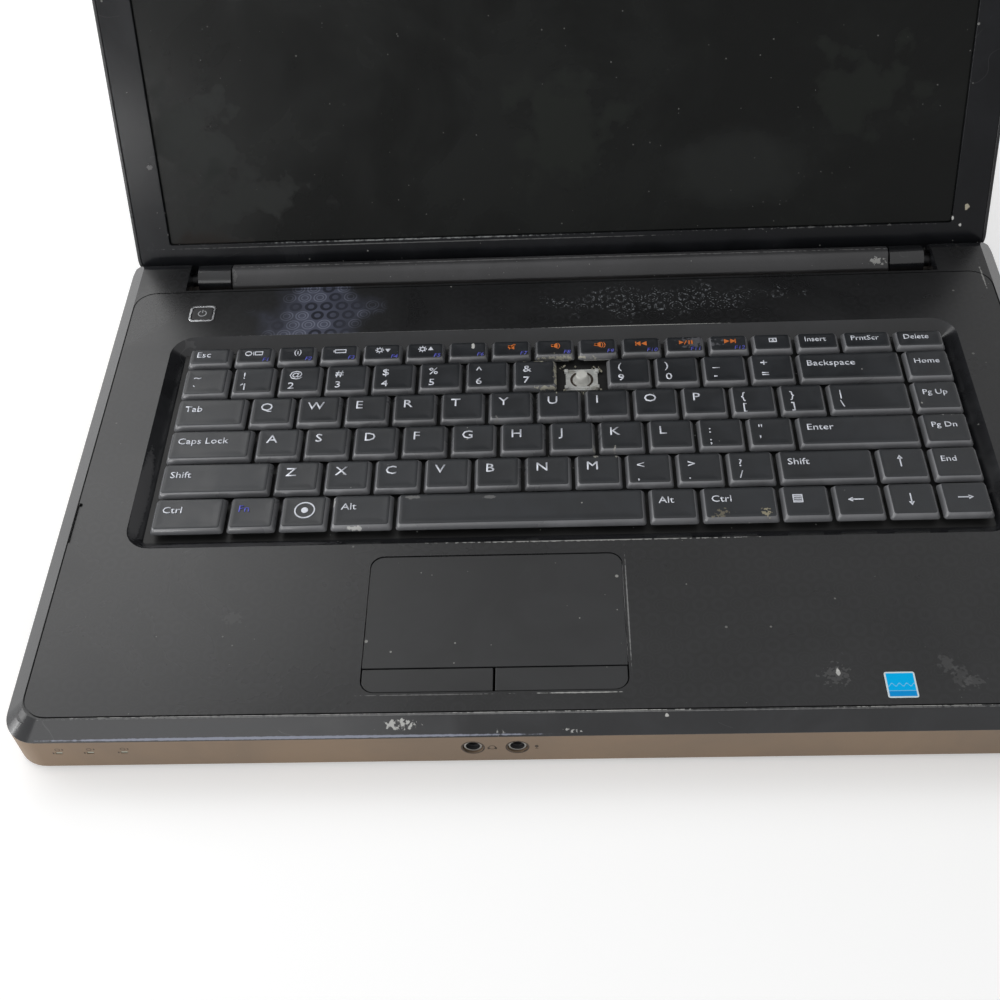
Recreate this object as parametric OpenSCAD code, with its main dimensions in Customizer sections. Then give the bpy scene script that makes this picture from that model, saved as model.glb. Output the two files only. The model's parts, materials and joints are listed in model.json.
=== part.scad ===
// Old 15.6-inch notebook computer, open and damaged: one key cap is lost.
// Millimetres, +Z up, stood on its feet. The user sits on the -Y side. The origin is on the
// table, under the middle of the open laptop's box. "d" values are distances behind the front edge.

/* [Base] */
// Width of the base at its seam
base_w = 380; // [360:1:460]
// Depth of the base, front wall to rear ledge
base_d = 249.5; // [245:0.5:310]
// Height of the palm rest above the table
deck_z = 23; // [23:0.5:27]
// Height of the rubber feet
foot_h = 2; // [1.5:0.1:4]
// How far the seam between deck and tray lies below the palm rest
seam_drop = 6; // [5.5:0.1:6.5]
// Wall of the two base shells
wall = 1.8; // [1.4:0.1:2]
// Thickness of the tray's floor
floor_t = 2; // [1.6:0.1:2.2]
// Corner radius of the base
base_r = 12; // [6:1:20]
// Width of the sloped border in front of the palm rest
front_border = 5.7; // [4:0.1:8]
// Width of the sloped border at each side
side_border = 6.7; // [4:0.1:8]

/* [Hinge] */
// How far the lid leans back from upright
lid_lean = 20.2; // [0:0.1:25]
// Distance from the hinge axis to the screen plane
hinge_drop = 8; // [7.5:0.1:9]
// Gap between the palm rest and the bezel when shut
shut_gap = 1; // [0.8:0.1:2]
// Distance from the hinge axis to the rear edge of the base
axis_setback = 13.65; // [12:0.1:20]
// Radius of the hinge bar and its end caps
barrel_r = 6.6; // [6:0.1:7]
// Radius of the hinge pins
pin_r = 2.5; // [2:0.1:3]
// Radial clearance of the hinge pins
pin_gap = 0.05; // [0.02:0.01:0.1]
// Half-length of the matt hinge bar
bar_half = 143.7; // [120:0.1:145]
// Length of each glossy end cap
cap_len = 14.6; // [12:0.1:15]
// Inner face of each corner block, from the middle
block_in = 162; // [161:0.5:165]
// Distance from the hinge axis forward to the trough wall
trough_front = 14.85; // [12:0.1:20]
// How far the foot of each corner block reaches behind the hinge axis
block_foot = 3.5; // [3:0.1:4]
// Thickness of the low ledge behind the trough
ledge_t = 3.4; // [3:0.1:3.5]

/* [Lid] */
// Width of the lid
lid_w = 377; // [370:1:460]
// Thickness of the lid
lid_t = 7.5; // [7:0.1:10]
// Radius of the lid's long back edges
lid_edge_r = 4; // [3:0.1:4.5]
// Wall of the lid cover
lid_wall = 1.6; // [1.2:0.1:1.8]
// Thickness of the bezel
bezel_t = 1.4; // [1:0.1:1.6]
// Width of the screen opening
screen_w = 345.5; // [300:0.5:346]
// Height of the screen opening
screen_h = 195.5; // [180:0.5:200]
// Distance from the hinge axis up to the screen opening
screen_foot = 14.1; // [14:0.1:18]
// Height of the rubber bumpers
bumper_h = 0.7; // [0.3:0.1:0.7]

/* [Keyboard] */
// Spacing of the keys along a row
pitch_x = 19.05; // [18:0.05:19.05]
// Spacing of the rows
pitch_y = 17.6; // [17:0.05:18]
// Gap between two caps in a row
cap_gap = 1.35; // [1:0.05:2]
// Depth of a letter key's cap
cap_d = 16.1; // [15:0.1:16.4]
// Depth of a function key's cap
fn_cap_d = 10.4; // [9:0.1:11]
// Height of a cap's skirt
cap_h = 2.6; // [2:0.1:3]
// How far a key travels
key_travel = 2.2; // [1.5:0.1:2.2]
// Width of the keyboard well
well_w = 324; // [322:0.5:330]
// Depth of the keyboard well
well_d = 113.6; // [112:0.1:116]
// Distance from the hinge axis forward to the rear of the well
well_rear = 44.85; // [40:0.1:50]

/* [Touchpad] */
// Width of the touchpad
pad_w = 90.2; // [60:0.1:95]
// Depth of the touchpad
pad_d = 47.8; // [30:0.1:50]
// Depth of the two click buttons
click_d = 9.6; // [7:0.1:12]
// Middle of the touchpad, left of the laptop's middle
pad_off = 24.6; // [0:0.1:30]
// Front of the click buttons behind the front edge
click_front = 13.8; // [12:0.1:20]
// Gap round the click buttons
click_gap = 0.35; // [0.3:0.05:0.5]

/* [Inside] */
// Width and depth of the disc drive
drive_w = 128; // [120:1:130]
// Height of the disc drive
drive_h = 12.3; // [9:0.1:12.5]
// Distance from the hinge axis forward to the disc drive's rear
drive_rear = 72; // [66:1:80]
// Width of the hard drive
disk_w = 100; // [90:1:110]
// Depth of the hard drive
disk_d = 70; // [60:1:75]
// Height of the hard drive
disk_h = 9.5; // [7:0.5:12.5]
// Length of the battery pack
pack_w = 270; // [200:1:300]
// Depth of the battery pack
pack_d = 40; // [30:1:44]
// Side of the square fan housing
fan_w = 54; // [45:1:56]
// Radius of a headphone jack's hole
jack_r = 1.8; // [1.8:0.05:2]

/* [Hidden] */
$fn = 48;
far = 1000;
eps = 0.01;
// Clearance between pieces that move past each other, and between loose neighbours
run_gap = 0.3;

// Depth of the whole open laptop, so that its middle can be the origin
axis_d = base_d - axis_setback;
lid_top = axis_d;
lid_back = hinge_drop + lid_t;
open_d = axis_d + (lid_top - lid_edge_r) * sin(lid_lean) + (lid_back - lid_edge_r) * cos(lid_lean)
    + lid_edge_r;
front_y = -open_d / 2;
rear_y = front_y + base_d;
axis_y = front_y + axis_d;
seam_z = deck_z - seam_drop;
axis_z = deck_z + shut_gap - hinge_drop;
inside_z = foot_h + floor_t;
ledge_z = foot_h + ledge_t;
trough_y = axis_y - trough_front;
block_r = deck_z - axis_z;
block_y = axis_y + block_r;
left_x = -base_w / 2;
right_x = base_w / 2;

// Keyboard: the first number key starts at key_x0; caps are placed in units of pitch_x
key_x0 = -7 * pitch_x;
left_edge = -1.06;
nav_edge = 14.23;
right_edge = 15.25;
lost_key = 7;
well_y1 = axis_y - well_rear;
well_y0 = well_y1 - well_d;
floor_x = [5.4 - well_w / 2, well_w / 2 - 5.4];
floor_y = [well_y0 + 6, well_y1 - 6.6];
row_y0 = well_y0 + 7.8;
cap_top_z = deck_z + 0.6;
skirt_z = cap_top_z - cap_h;
plate_z = skirt_z - key_travel - run_gap;
plate_t = 0.8;
cap_wall = 1;
number_row = concat([[left_edge, 0]], [for (i = [0:11]) if (i != lost_key) [i, i + 1]]);
upper_row = [for (i = [0:11]) [i + 0.5, i + 1.5]];
middle_row = [for (i = [0:10]) [i + 0.75, i + 1.75]];
lower_row = [for (i = [0:9]) [i + 1.25, i + 2.25]];
space_key = [3.75, 8.66];
modifiers = [[left_edge, 0.445], [0.445, 1.468], [1.468, 2.48], [2.48, 3.75],
    [8.66, 9.67], [9.67, 11.2], [11.2, 12.2]];
arrows = [[12.2, 13.22], [13.22, 14.23], [14.23, right_edge]];
up_key = [13.2, 14.23];
nav_key = [nav_edge, right_edge];
fn_pitch = 0.931;
fn_row = concat([[left_edge, -0.05]], [for (i = [0:12]) [i * fn_pitch - 0.05, (i + 1) * fn_pitch - 0.05]],
    [[12.06, 13.04], [13.04, 14.15], [14.15, right_edge]]);
bottom_row = concat(modifiers, [space_key], arrows);

// Touchpad
pad_x0 = -pad_off - pad_w / 2;
click_y0 = front_y + click_front;
pad_y0 = click_y0 + click_d + click_gap;
pad_z = deck_z - 0.3;
click_travel = 0.6;
click_t = 1.6;

// Inside pieces
drive_y1 = axis_y - drive_rear;
drive_y0 = drive_y1 - drive_w;
drive_x0 = right_x - drive_w;
drive_z = inside_z + 0.2;
skin = 0.8;
tray_lip = 3;
tray_z = drive_z + skin + run_gap;
disc_r = 60;
spindle_x = right_x - drive_w / 2 - 2;
spindle_y = (drive_y0 + drive_y1) / 2;
eject_y = drive_y0 + 28;
disk_x0 = left_x + 40;
disk_y0 = front_y + 17;
pack_y1 = trough_y - wall - 1;
pack_y0 = pack_y1 - pack_d;
pack_top = seam_z - 0.4;
board_z = foot_h + 6;
board_t = 1.4;
board_y1 = pack_y0 - 2;
board_y0 = board_y1 - 88;
board_x1 = left_x + 235;
fan_x0 = left_x + 12;
fan_y1 = board_y1 - 1;
fan_y0 = fan_y1 - fan_w;
fan_h = 10.5;
fan_x = fan_x0 + fan_w / 2;
fan_y = fan_y0 + fan_w / 2;
fan_pin_r = 1.5;
cover_x = [disk_x0 - 3, disk_x0 + disk_w + 20];
cover_y = [disk_y0 - 3, board_y0 + 50];
cover_t = 1.2;
memory_x = [disk_x0 + 40, disk_x0 + 107.6];
memory_y = [board_y0 + 8, board_y0 + 38];
strip_y0 = board_y0 - 34;
jack_x = [-32, -17.2];
jack_z = foot_h + 8.4;
jack_len = 12;
jack_mouth_r = jack_r + 0.6;
jack_mouth_len = wall + 0.2;
jack_panel_x = [jack_x[0] - 8, jack_x[1] + 8];
jack_panel_z = inside_z + 2;
latch_x = 105;
latch_y = pack_y0 - 9;
latch_travel = 5;
foot_x = base_w / 2 - 26;
foot_y = [front_y + 22, axis_y - 6];
foot_r = 8;
light_x = [-171.5, -160.8, -149.3];
screw_r = 1.25;
corner_post = [for (x = [-1, 1], y = [front_y + 9, axis_y - 22]) [x * (base_w / 2 - 8.5), y]];
board_post = [[left_x + 7, board_y0 + 9], [board_x1 - 6, board_y0 + 6], [board_x1 - 6, board_y1 - 6],
    [left_x + 75, board_y1 - 6]];
power_x = [-157.8, -146.6];
power_y = [axis_y - 35.2, axis_y - 25.2];
label_x = 104;
label_y = front_y + 8.9;
label_w = 10;

// Lid, drawn with its hinge axis as X, up the screen as Y and out of the screen as Z
lid_foot = -2.1;
face_z = -hinge_drop;
back_z = -lid_back;
bezel_foot = 1.4;
panel_w = 359.5;
panel_y = [screen_foot - 9.5, screen_foot + screen_h + 4];
panel_z = [back_z + lid_wall + 0.4, face_z - bezel_t - 0.1];
arm_x = [149.5, 155.5];
arm_side = [panel_w / 2 + 0.6, panel_w / 2 + 3.6];
eye_r = 4.4;
bar_tilt = 24.8;
bar_flat = 5.6;
bumper_x = 120;

// A box from its lowest and highest x, y and z
module box(x, y, z)
    translate([x[0], y[0], z[0]]) cube([x[1] - x[0], y[1] - y[0], z[1] - z[0]]);

// A rounded rectangle from its lowest and highest x and y
module round_rect(x, y, r) {
    w = x[1] - x[0];
    d = y[1] - y[0];
    translate([x[0] + r, y[0]]) square([w - 2 * r, d]);
    translate([x[0], y[0] + r]) square([w, d - 2 * r]);
    for (i = [r, w - r], j = [r, d - r]) translate([x[0] + i, y[0] + j]) circle(r);
}

// A slab with rounded corners
module slab(x, y, z, r)
    translate([0, 0, z[0]]) linear_extrude(z[1] - z[0]) round_rect(x, y, r);

// Stretches a section, drawn with y across and z up, along X
module along_x(x)
    translate([x[0], 0, 0]) rotate([90, 0, 90]) linear_extrude(x[1] - x[0]) children();

// The same shape on both sides of the middle
module both_sides() {
    children();
    mirror([1, 0, 0]) children();
}

// Puts what is drawn on the lid's own axes in its open place
module on_lid()
    translate([0, axis_y, axis_z]) rotate([90 - lid_lean, 0, 0]) children();

// The base's outline, drawn in by "inset", without the strip that the lid drops into
module deck_plan(inset)
    intersection() {
        round_rect([left_x + inset, right_x - inset], [front_y + inset, rear_y - inset], base_r - inset);
        union() {
            translate([-far, -far]) square([2 * far, far + trough_y - inset]);
            both_sides() translate([block_in + inset, -far]) square([far, far + block_y - inset]);
        }
    }

// The side view of the deck with its corner blocks, rounded about the hinge axis
module deck_side(inset) {
    translate([-far, -far]) square([far + axis_y, far + deck_z - inset]);
    translate([axis_y, axis_z]) circle(block_r - inset);
    translate([-far, -far]) square([far + axis_y + block_foot - inset, far + axis_z]);
}

// Case feet, floor posts and openings
module port_cutouts() {
    box(jack_panel_x, [front_y - 1, front_y + wall + eps], [jack_panel_z, seam_z + eps]);
    box([left_x - 1, left_x + wall + eps], socket_y(), [socket_z()[0], seam_z + eps]);
    for (y = usb_left_y()) box([left_x - 1, left_x + wall + eps], [y, y + 13.6], usb_z());
    box([right_x - wall - eps, right_x + 1], [usb_right_y(), usb_right_y() + 13.6], usb_z());
    box([left_x - 1, left_x + wall + eps], video_y(), video_z());
    translate([left_x - 1, jack_power_y(), jack_power_z()]) rotate([0, 90, 0])
        cylinder(h = wall + 1 + eps, r = 3.8);
    for (y = [fan_y0 + 4 : 4 : fan_y1 - 6]) box([left_x - 1, left_x + wall + eps], [y, y + 2],
        [inside_z + 1.5, inside_z + 9.5]);
    for (x = light_x) box([x - 1.2, x + 1.2], [front_y - 1, front_y + wall + eps],
        [jack_z - 0.6, jack_z + 0.6]);
}

function socket_y() = [strip_y0 + 2, strip_y0 + 17];
function socket_z() = [inside_z, seam_z - 0.3];
function usb_left_y() = [strip_y0 - 16];
function usb_right_y() = axis_y - 60;
function usb_z() = [inside_z + 3.6, inside_z + 9.6];
function video_y() = [strip_y0 + 19.5, strip_y0 + 37.5];
function video_z() = [inside_z + 2, inside_z + 11];
function jack_power_y() = axis_y - 52;
function jack_power_z() = inside_z + 6;

module bottom_case() color([0.47, 0.41, 0.35]) difference() {
    union() {
        difference() {
            union() {
                translate([0, 0, foot_h]) linear_extrude(ledge_t)
                    round_rect([left_x, right_x], [front_y, rear_y], base_r);
                intersection() {
                    translate([0, 0, foot_h]) linear_extrude(seam_z - foot_h) deck_plan(0);
                    along_x([-far, far]) deck_side(0);
                }
            }
            intersection() {
                translate([0, 0, inside_z]) linear_extrude(far) deck_plan(wall);
                along_x([-far, far]) deck_side(wall);
            }
        }
        for (p = corner_post) translate([p[0], p[1], inside_z - eps])
            cylinder(h = seam_z - inside_z, r = 3.4);
        for (p = board_post) translate([p[0], p[1], inside_z - eps])
            cylinder(h = board_z - inside_z + eps, r = 3);
    }
    port_cutouts();
    box([drive_x0 + 20, right_x + 1], [drive_y0 - run_gap, drive_y1 + run_gap],
        [drive_z - 0.1, seam_z + eps]);
    box([-pack_w / 2 - run_gap, pack_w / 2 + run_gap], [pack_y0 - run_gap, pack_y1 + run_gap],
        [foot_h - 1, inside_z + eps]);
    box(cover_x, cover_y, [foot_h - 1, foot_h + cover_t]);
    box([cover_x[0] + 2, cover_x[1] - 2], [cover_y[0] + 2, cover_y[1] - 2], [foot_h, inside_z + eps]);
    box([latch_x - 3, latch_x + 13 + latch_travel], [latch_y - 3, latch_y + 3], [foot_h - 1, inside_z + eps]);
    for (p = corner_post) translate([p[0], p[1], foot_h - 1]) {
        cylinder(h = far, r = screw_r + 0.1);
        cylinder(h = 2, r = 2.6);
    }
    both_sides() translate([block_in - 1, axis_y, axis_z]) rotate([0, 90, 0])
        cylinder(h = wall + 2, r = pin_r + run_gap);
}

module top_case() color([0.07, 0.075, 0.09]) difference() {
    union() {
        difference() {
            deck_block(0);
            deck_block(wall);
        }
        box([-well_w / 2 - 3, well_w / 2 + 3], [well_y0 - 3, well_y1 + 3], [plate_z, deck_z - wall]);
        box([pad_x0 - 2, pad_x0 + pad_w + 2], [click_y0 - 2, pad_y0 + pad_d + 2],
            [pad_z - click_t, deck_z - wall]);
        for (p = corner_post) translate([p[0], p[1], seam_z]) cylinder(h = deck_z - wall - seam_z, r = 3.4);
    }
    hull() {
        slab([-well_w / 2, well_w / 2], [well_y0, well_y1], [deck_z, deck_z + 1], 10);
        slab(floor_x, floor_y, [plate_z, plate_z + 0.4], 1.5);
    }
    box(floor_x, floor_y, [plate_z - 1, plate_z + 0.1]);
    translate([0, 0, seam_z]) linear_extrude(far) pad_opening(0);
    slab([power_x[0], power_x[1]], [power_y[0], power_y[1]], [seam_z, far], 2.2);
    for (p = corner_post) translate([p[0], p[1], seam_z - eps]) cylinder(h = 3, r = screw_r);
    both_sides() translate([block_in - 1, axis_y, axis_z]) rotate([0, 90, 0])
        cylinder(h = wall + 2, r = pin_r + run_gap);
    box([power_x[0] - 1.4, power_x[1] + 1.4], [power_y[0] - 1.4, power_y[1] + 1.4], [seam_z, deck_z - wall]);
}

// The deck's outer shape with its sloped border, or the hollow inside it
module deck_block(inset) intersection() {
    hull() {
        slab([left_x + inset, right_x - inset], [front_y + inset, block_y + base_r],
            [seam_z - inset, seam_z + 0.2], base_r - inset);
        slab([left_x + side_border + inset / 2, right_x - side_border - inset / 2],
            [front_y + front_border + inset / 2, block_y + base_r], [seam_z, deck_z - inset], base_r - 4);
    }
    translate([0, 0, seam_z - inset]) linear_extrude(seam_drop + inset) deck_plan(inset);
    along_x([-far, far]) deck_side(inset);
}

function key_x(u) = key_x0 + u * pitch_x;
function row_y(n) = row_y0 + n * pitch_y;

// Hollow caps for the spans in "keys", on row n from the front
module caps(keys, n, depth) color([0.1, 0.1, 0.11])
    for (k = keys) {
        x = [key_x(k[0]), key_x(k[1]) - cap_gap];
        y = [row_y(n), row_y(n) + depth];
        difference() {
            union() {
                box(x, y, [skirt_z, skirt_z + 1.2]);
                box([x[0] + 1.1, x[1] - 1.1], [y[0] + 0.9, y[1] - 0.9], [skirt_z + 1, cap_top_z]);
            }
            box([x[0] + 2.1, x[1] - 2.1], [y[0] + 1.9, y[1] - 1.9], [skirt_z - 1, cap_top_z - cap_wall]);
        }
    }

// Where the caps of a row have their domes and frames: the span's middle and the cap's depth
module under_caps(keys, n, depth)
    for (k = keys) translate([(key_x(k[0]) + key_x(k[1]) - cap_gap) / 2, row_y(n) + depth / 2, plate_z])
        children();

// Runs the children under every key place, the lost key's too
module under_letter_keys() {
    under_caps(bottom_row, 0, cap_d) children();
    under_caps(concat([[left_edge, 1.25]], lower_row, [[11.25, 13.2], up_key, nav_key]), 1, cap_d) children();
    under_caps(concat([[left_edge, 0.75]], middle_row, [[11.75, nav_edge], nav_key]), 2, cap_d) children();
    under_caps(concat([[left_edge, 0.5]], upper_row, [[12.5, nav_edge], nav_key]), 3, cap_d) children();
    under_caps(concat(number_row, [[lost_key, lost_key + 1], [12, nav_edge], nav_key]), 4, cap_d)
        children();
}

dome_h = cap_top_z - cap_wall - plate_z - run_gap;
module dome(r) {
    cylinder(h = 0.5, r = r);
    cylinder(h = dome_h, r1 = r - 0.3, r2 = r - 1.6);
}

module rubber_domes() color([0.75, 0.75, 0.72]) {
    under_letter_keys() dome(3.7);
    under_caps(fn_row, 5, fn_cap_d) dome(2.4);
}

// A scissor lift folded flat: a frame round the dome
module folded_frame(w, d, hole_r) difference() {
    box([-w / 2, w / 2], [-d / 2, d / 2], [0, 0.7]);
    translate([0, 0, -1]) cylinder(h = 3, r = hole_r);
}

module scissor_frames() color([0.88, 0.88, 0.86]) {
    under_letter_keys() folded_frame(12.9, 11.7, 4);
    under_caps(fn_row, 5, fn_cap_d) folded_frame(11.5, 6, 2.6);
}

module keyboard_plate() color([0.6, 0.6, 0.6])
    box([-well_w / 2 - 2, well_w / 2 + 2], [well_y0 - 2, well_y1 + 2], [plate_z - plate_t, plate_z]);

// The opening for the touchpad and its buttons, and the part of it over a span of x and y
module pad_opening(inset)
    round_rect([pad_x0 + inset, pad_x0 + pad_w - inset], [click_y0 + inset, pad_y0 + pad_d - inset],
        5 - inset);
module pad_piece(x, y, inset)
    translate([0, 0, pad_z - click_t]) linear_extrude(click_t) intersection() {
        pad_opening(inset);
        translate([x[0], y[0]]) square([x[1] - x[0], y[1] - y[0]]);
    }

module touchpad() color([0.09, 0.09, 0.1]) pad_piece([-far, far], [pad_y0, far], 0.2);

// The steel plate under the touchpad, with the two switches that the click buttons press
module touchpad_bracket() color([0.55, 0.56, 0.58]) {
    z = pad_z - click_t;
    box([pad_x0 - 1.8, pad_x0 + pad_w + 1.8], [pad_y0 + 2, pad_y0 + pad_d + 1.8], [z - 1, z]);
    for (x = [pad_x0 + pad_w / 4, pad_x0 + pad_w * 3 / 4]) {
        box([x - 4, x + 4], [click_y0 + 3, pad_y0 + 2], [z - 2.4, z - 1.6]);
        box([x - 4, x + 4], [pad_y0 + 1, pad_y0 + 4], [z - 2.4, z - 1]);
        translate([x, click_y0 + 5, z - 1.7]) cylinder(h = 1.7 - click_travel - 0.2, r = 1.7);
    }
}

module click_button(x) color([0.1, 0.1, 0.11]) pad_piece(x, [-far, click_y0 + click_d], click_gap);
module left_click_button() click_button([-far, -pad_off - click_gap]);
module right_click_button() click_button([-pad_off + click_gap, far]);

module power_button_frame() color([0.5, 0.51, 0.53]) difference() {
    union() {
        slab([power_x[0] + 0.1, power_x[1] - 0.1], [power_y[0] + 0.1, power_y[1] - 0.1],
            [deck_z - wall, deck_z + 0.3], 2.1);
        box([power_x[0] - 1.2, power_x[1] + 1.2], [power_y[0] - 1.2, power_y[1] + 1.2],
            [deck_z - 3.2, deck_z - wall]);
    }
    slab([power_x[0] + 1, power_x[1] - 1], [power_y[0] + 1, power_y[1] - 1], [deck_z - 2.4, far], 1.2);
}
module power_button() color([0.12, 0.12, 0.13])
    slab([power_x[0] + 1.3, power_x[1] - 1.3], [power_y[0] + 1.3, power_y[1] - 1.3],
        [deck_z - 1.6, deck_z + 0.2], 1);

module motherboard() color([0.1, 0.3, 0.16]) {
    difference() {
        union() {
            box([left_x + wall + 0.5, board_x1], [board_y0, board_y1], [board_z, board_z + board_t]);
            box([left_x + wall + 0.5, left_x + 36], [strip_y0, board_y0 + eps], [board_z, board_z + board_t]);
        }
        box([left_x, fan_x0 + fan_w + 1], [fan_y0 - 1, far], [0, far]);
        box([left_x, left_x + 16.5], [strip_y0 - 1, video_y()[1] + 0.5], [0, far]);
    }
    z = board_z + board_t;
    box([board_x1 - 92, board_x1 - 60], [board_y0 + 40, board_y0 + 72], [z, z + 1.8]);
    for (i = [0:3]) box([board_x1 - 40 + i * 9, board_x1 - 34 + i * 9], [board_y0 + 14, board_y0 + 30],
        [z, z + 1.5]);
}

module heat_sink() color([0.72, 0.45, 0.3]) {
    fins_x = [left_x + wall + 0.6, fan_x0 - 0.4];
    pipe_z = inside_z + fan_h + 0.2;
    box([board_x1 - 94, board_x1 - 58], [board_y0 + 38, board_y0 + 74], [board_z + board_t + 1.8, pipe_z]);
    box([fins_x[0], board_x1 - 60], [board_y0 + 52, board_y0 + 60], [pipe_z, pipe_z + 2.2]);
    for (y = [fan_y0 + 6 : 4 : fan_y1 - 8]) box(fins_x, [y, y + 1], [inside_z + 0.3, pipe_z - 1]);
    box(fins_x, [fan_y0 + 6, fan_y1 - 7], [pipe_z - 1, pipe_z]);
}

module fan_housing() color([0.13, 0.13, 0.14]) {
    difference() {
        box([fan_x0, fan_x0 + fan_w], [fan_y0, fan_y1], [inside_z, inside_z + fan_h]);
        translate([fan_x, fan_y, inside_z + skin]) cylinder(h = fan_h - 2 * skin, r = fan_w / 2 - 1.5);
        translate([fan_x, fan_y, inside_z + skin]) cylinder(h = fan_h, r = fan_w / 2 - 9);
        box([fan_x0 - 1, fan_x], [fan_y0 + 5, fan_y1 - 5], [inside_z + skin, inside_z + fan_h - skin]);
    }
    translate([fan_x, fan_y, inside_z + skin - eps]) cylinder(h = fan_h - 3.5, r = fan_pin_r);
}
module fan_rotor() color([0.2, 0.2, 0.21]) translate([fan_x, fan_y, inside_z + skin + run_gap]) {
    h = fan_h - 2 * skin - 2 * run_gap;
    difference() {
        union() {
            cylinder(h = h, r = 10.5);
            for (a = [0:24:359]) rotate([0, 0, a]) translate([9, -0.4, 0.5])
                cube([fan_w / 2 - 13, 0.8, h - 1.5]);
        }
        translate([0, 0, -1]) cylinder(h = h, r = fan_pin_r + pin_gap);
    }
}

module memory_modules() color([0.12, 0.35, 0.2]) {
    box(memory_x, memory_y, [foot_h + 2.1, foot_h + 3.3]);
    for (i = [0:3]) box([memory_x[0] + 4 + i * 16, memory_x[0] + 15 + i * 16],
        [memory_y[0] + 8, memory_y[1] - 8], [foot_h + 3.3, foot_h + 4.2]);
    box([memory_x[0], memory_x[1]], [memory_y[1] - 3, memory_y[1] + 3], [foot_h + 3.3, board_z]);
}
module wireless_card() color([0.14, 0.32, 0.2]) {
    box([memory_x[0] - 36, memory_x[0] - 6], [board_y0 + 1, board_y0 + 31], [board_z - 3, board_z - 2]);
    box([memory_x[0] - 34, memory_x[0] - 8], [board_y0 + 27, board_y0 + 31], [board_z - 2, board_z]);
}
module clock_cell() color([0.75, 0.75, 0.76])
    translate([board_x1 - 18, board_y0 + 55, board_z + board_t]) cylinder(h = 3.2, r = 10);

module hard_drive() color([0.62, 0.63, 0.65])
    slab([disk_x0, disk_x0 + disk_w], [disk_y0, disk_y0 + disk_d],
        [foot_h + cover_t + 0.3, foot_h + cover_t + 0.3 + disk_h], 2);

module battery_pack() color([0.12, 0.12, 0.13])
    slab([-pack_w / 2, pack_w / 2], [pack_y0, pack_y1], [foot_h, pack_top], 3);
module battery_latch() color([0.1, 0.1, 0.1]) {
    box([latch_x - 2.6, latch_x + 12], [latch_y - 2.6, latch_y + 2.6], [foot_h + 0.2, inside_z]);
    box([latch_x - 2.6, latch_x + 16], [latch_y - 5, latch_y + 5], [inside_z + 0.3, inside_z + 1.5]);
    box([latch_x, latch_x + 9], [latch_y - 2.6, latch_y + 2.6], [inside_z - eps, inside_z + 0.4]);
}

module speakers() color([0.1, 0.1, 0.1]) both_sides() {
    slab([base_w / 2 - 46, base_w / 2 - 16], [front_y + wall + 3, front_y + wall + 14],
        [inside_z, inside_z + 7.5], 2);
}

module audio_jacks() color([0.75, 0.72, 0.62]) for (x = jack_x)
    difference() {
        union() {
            box([x - 3.4, x + 3.4], [front_y + wall, front_y + wall + jack_len], [inside_z, jack_z + 3.4]);
            translate([x, front_y + 0.6, jack_z]) rotate([-90, 0, 0]) cylinder(h = wall, r = 3);
        }
        translate([x, front_y - 1, jack_z]) rotate([-90, 0, 0]) {
            cylinder(h = jack_len + 1, r = jack_r);
            cylinder(h = jack_mouth_len + 1, r = jack_mouth_r);
        }
    }

// Trim panel round the jacks, set in a notch of the front wall
module jack_panel() color([0.47, 0.41, 0.35]) difference() {
    box([jack_panel_x[0] + 0.05, jack_panel_x[1] - 0.05], [front_y, front_y + wall], [jack_panel_z, seam_z]);
    for (x = jack_x) translate([x, front_y - 1, jack_z]) rotate([-90, 0, 0]) cylinder(h = wall + 2, r = 3.4);
}

module power_jack() color([0.1, 0.1, 0.11]) translate([left_x, jack_power_y(), jack_power_z()]) {
    difference() {
        union() {
            translate([wall, -5, -6]) cube([13, 10, 11]);
            translate([0.4, 0, 0]) rotate([0, 90, 0]) cylinder(h = wall, r = 3.6);
        }
        translate([-1, 0, 0]) rotate([0, 90, 0]) cylinder(h = 11, r = 2.75);
    }
    translate([1.5, 0, 0]) rotate([0, 90, 0]) cylinder(h = 9, r = 0.8);
}

// A port's metal shell on the wall at x, with its plastic tongue, for a plug pushed along +X
module port(y, z, depth, tongue) {
    difference() {
        box([0, depth], y, z);
        box([-1, depth - 1], [y[0] + 0.5, y[1] - 0.5], [z[0] + 0.5, z[1] - 0.5]);
    }
    box([1, depth - 0.5], [y[0] + 1.2, y[1] - 1.2], [z[1] - tongue - 1, z[1] - 1]);
}
module side_ports() color([0.7, 0.7, 0.7]) {
    inner = [0.2, -0.2];
    for (y = usb_left_y()) translate([left_x + 0.3, 0, 0])
        port([y, y + 13.6] + inner, usb_z() + inner, 15, 1.8);
    translate([left_x + 0.3, 0, 0]) port(video_y() + inner, video_z() + inner, 14, 5.5);
    mirror([1, 0, 0]) translate([left_x + 0.3, 0, 0])
        port([usb_right_y(), usb_right_y() + 13.6] + inner, usb_z() + inner, 15, 1.8);
    for (y = usb_left_y()) port_foot(left_x + 2, [y + 2, y + 11], usb_z()[0]);
    port_foot(left_x + 2, [video_y()[0] + 2, video_y()[1] - 2], video_z()[0]);
    port_foot(right_x - 15, [usb_right_y() + 2, usb_right_y() + 11], usb_z()[0]);
}
module port_foot(x, y, top) box([x, x + 13], y, [inside_z, top + 0.2]);
module network_socket() color([0.2, 0.2, 0.2]) difference() {
    box([left_x + 0.3, left_x + 16], socket_y() + [0.2, -0.2], [inside_z, socket_z()[1] - 0.2]);
    box([left_x - 1, left_x + 14.5], socket_y() + [1.6, -1.6], [inside_z + 2, socket_z()[1] - 1.8]);
}

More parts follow.
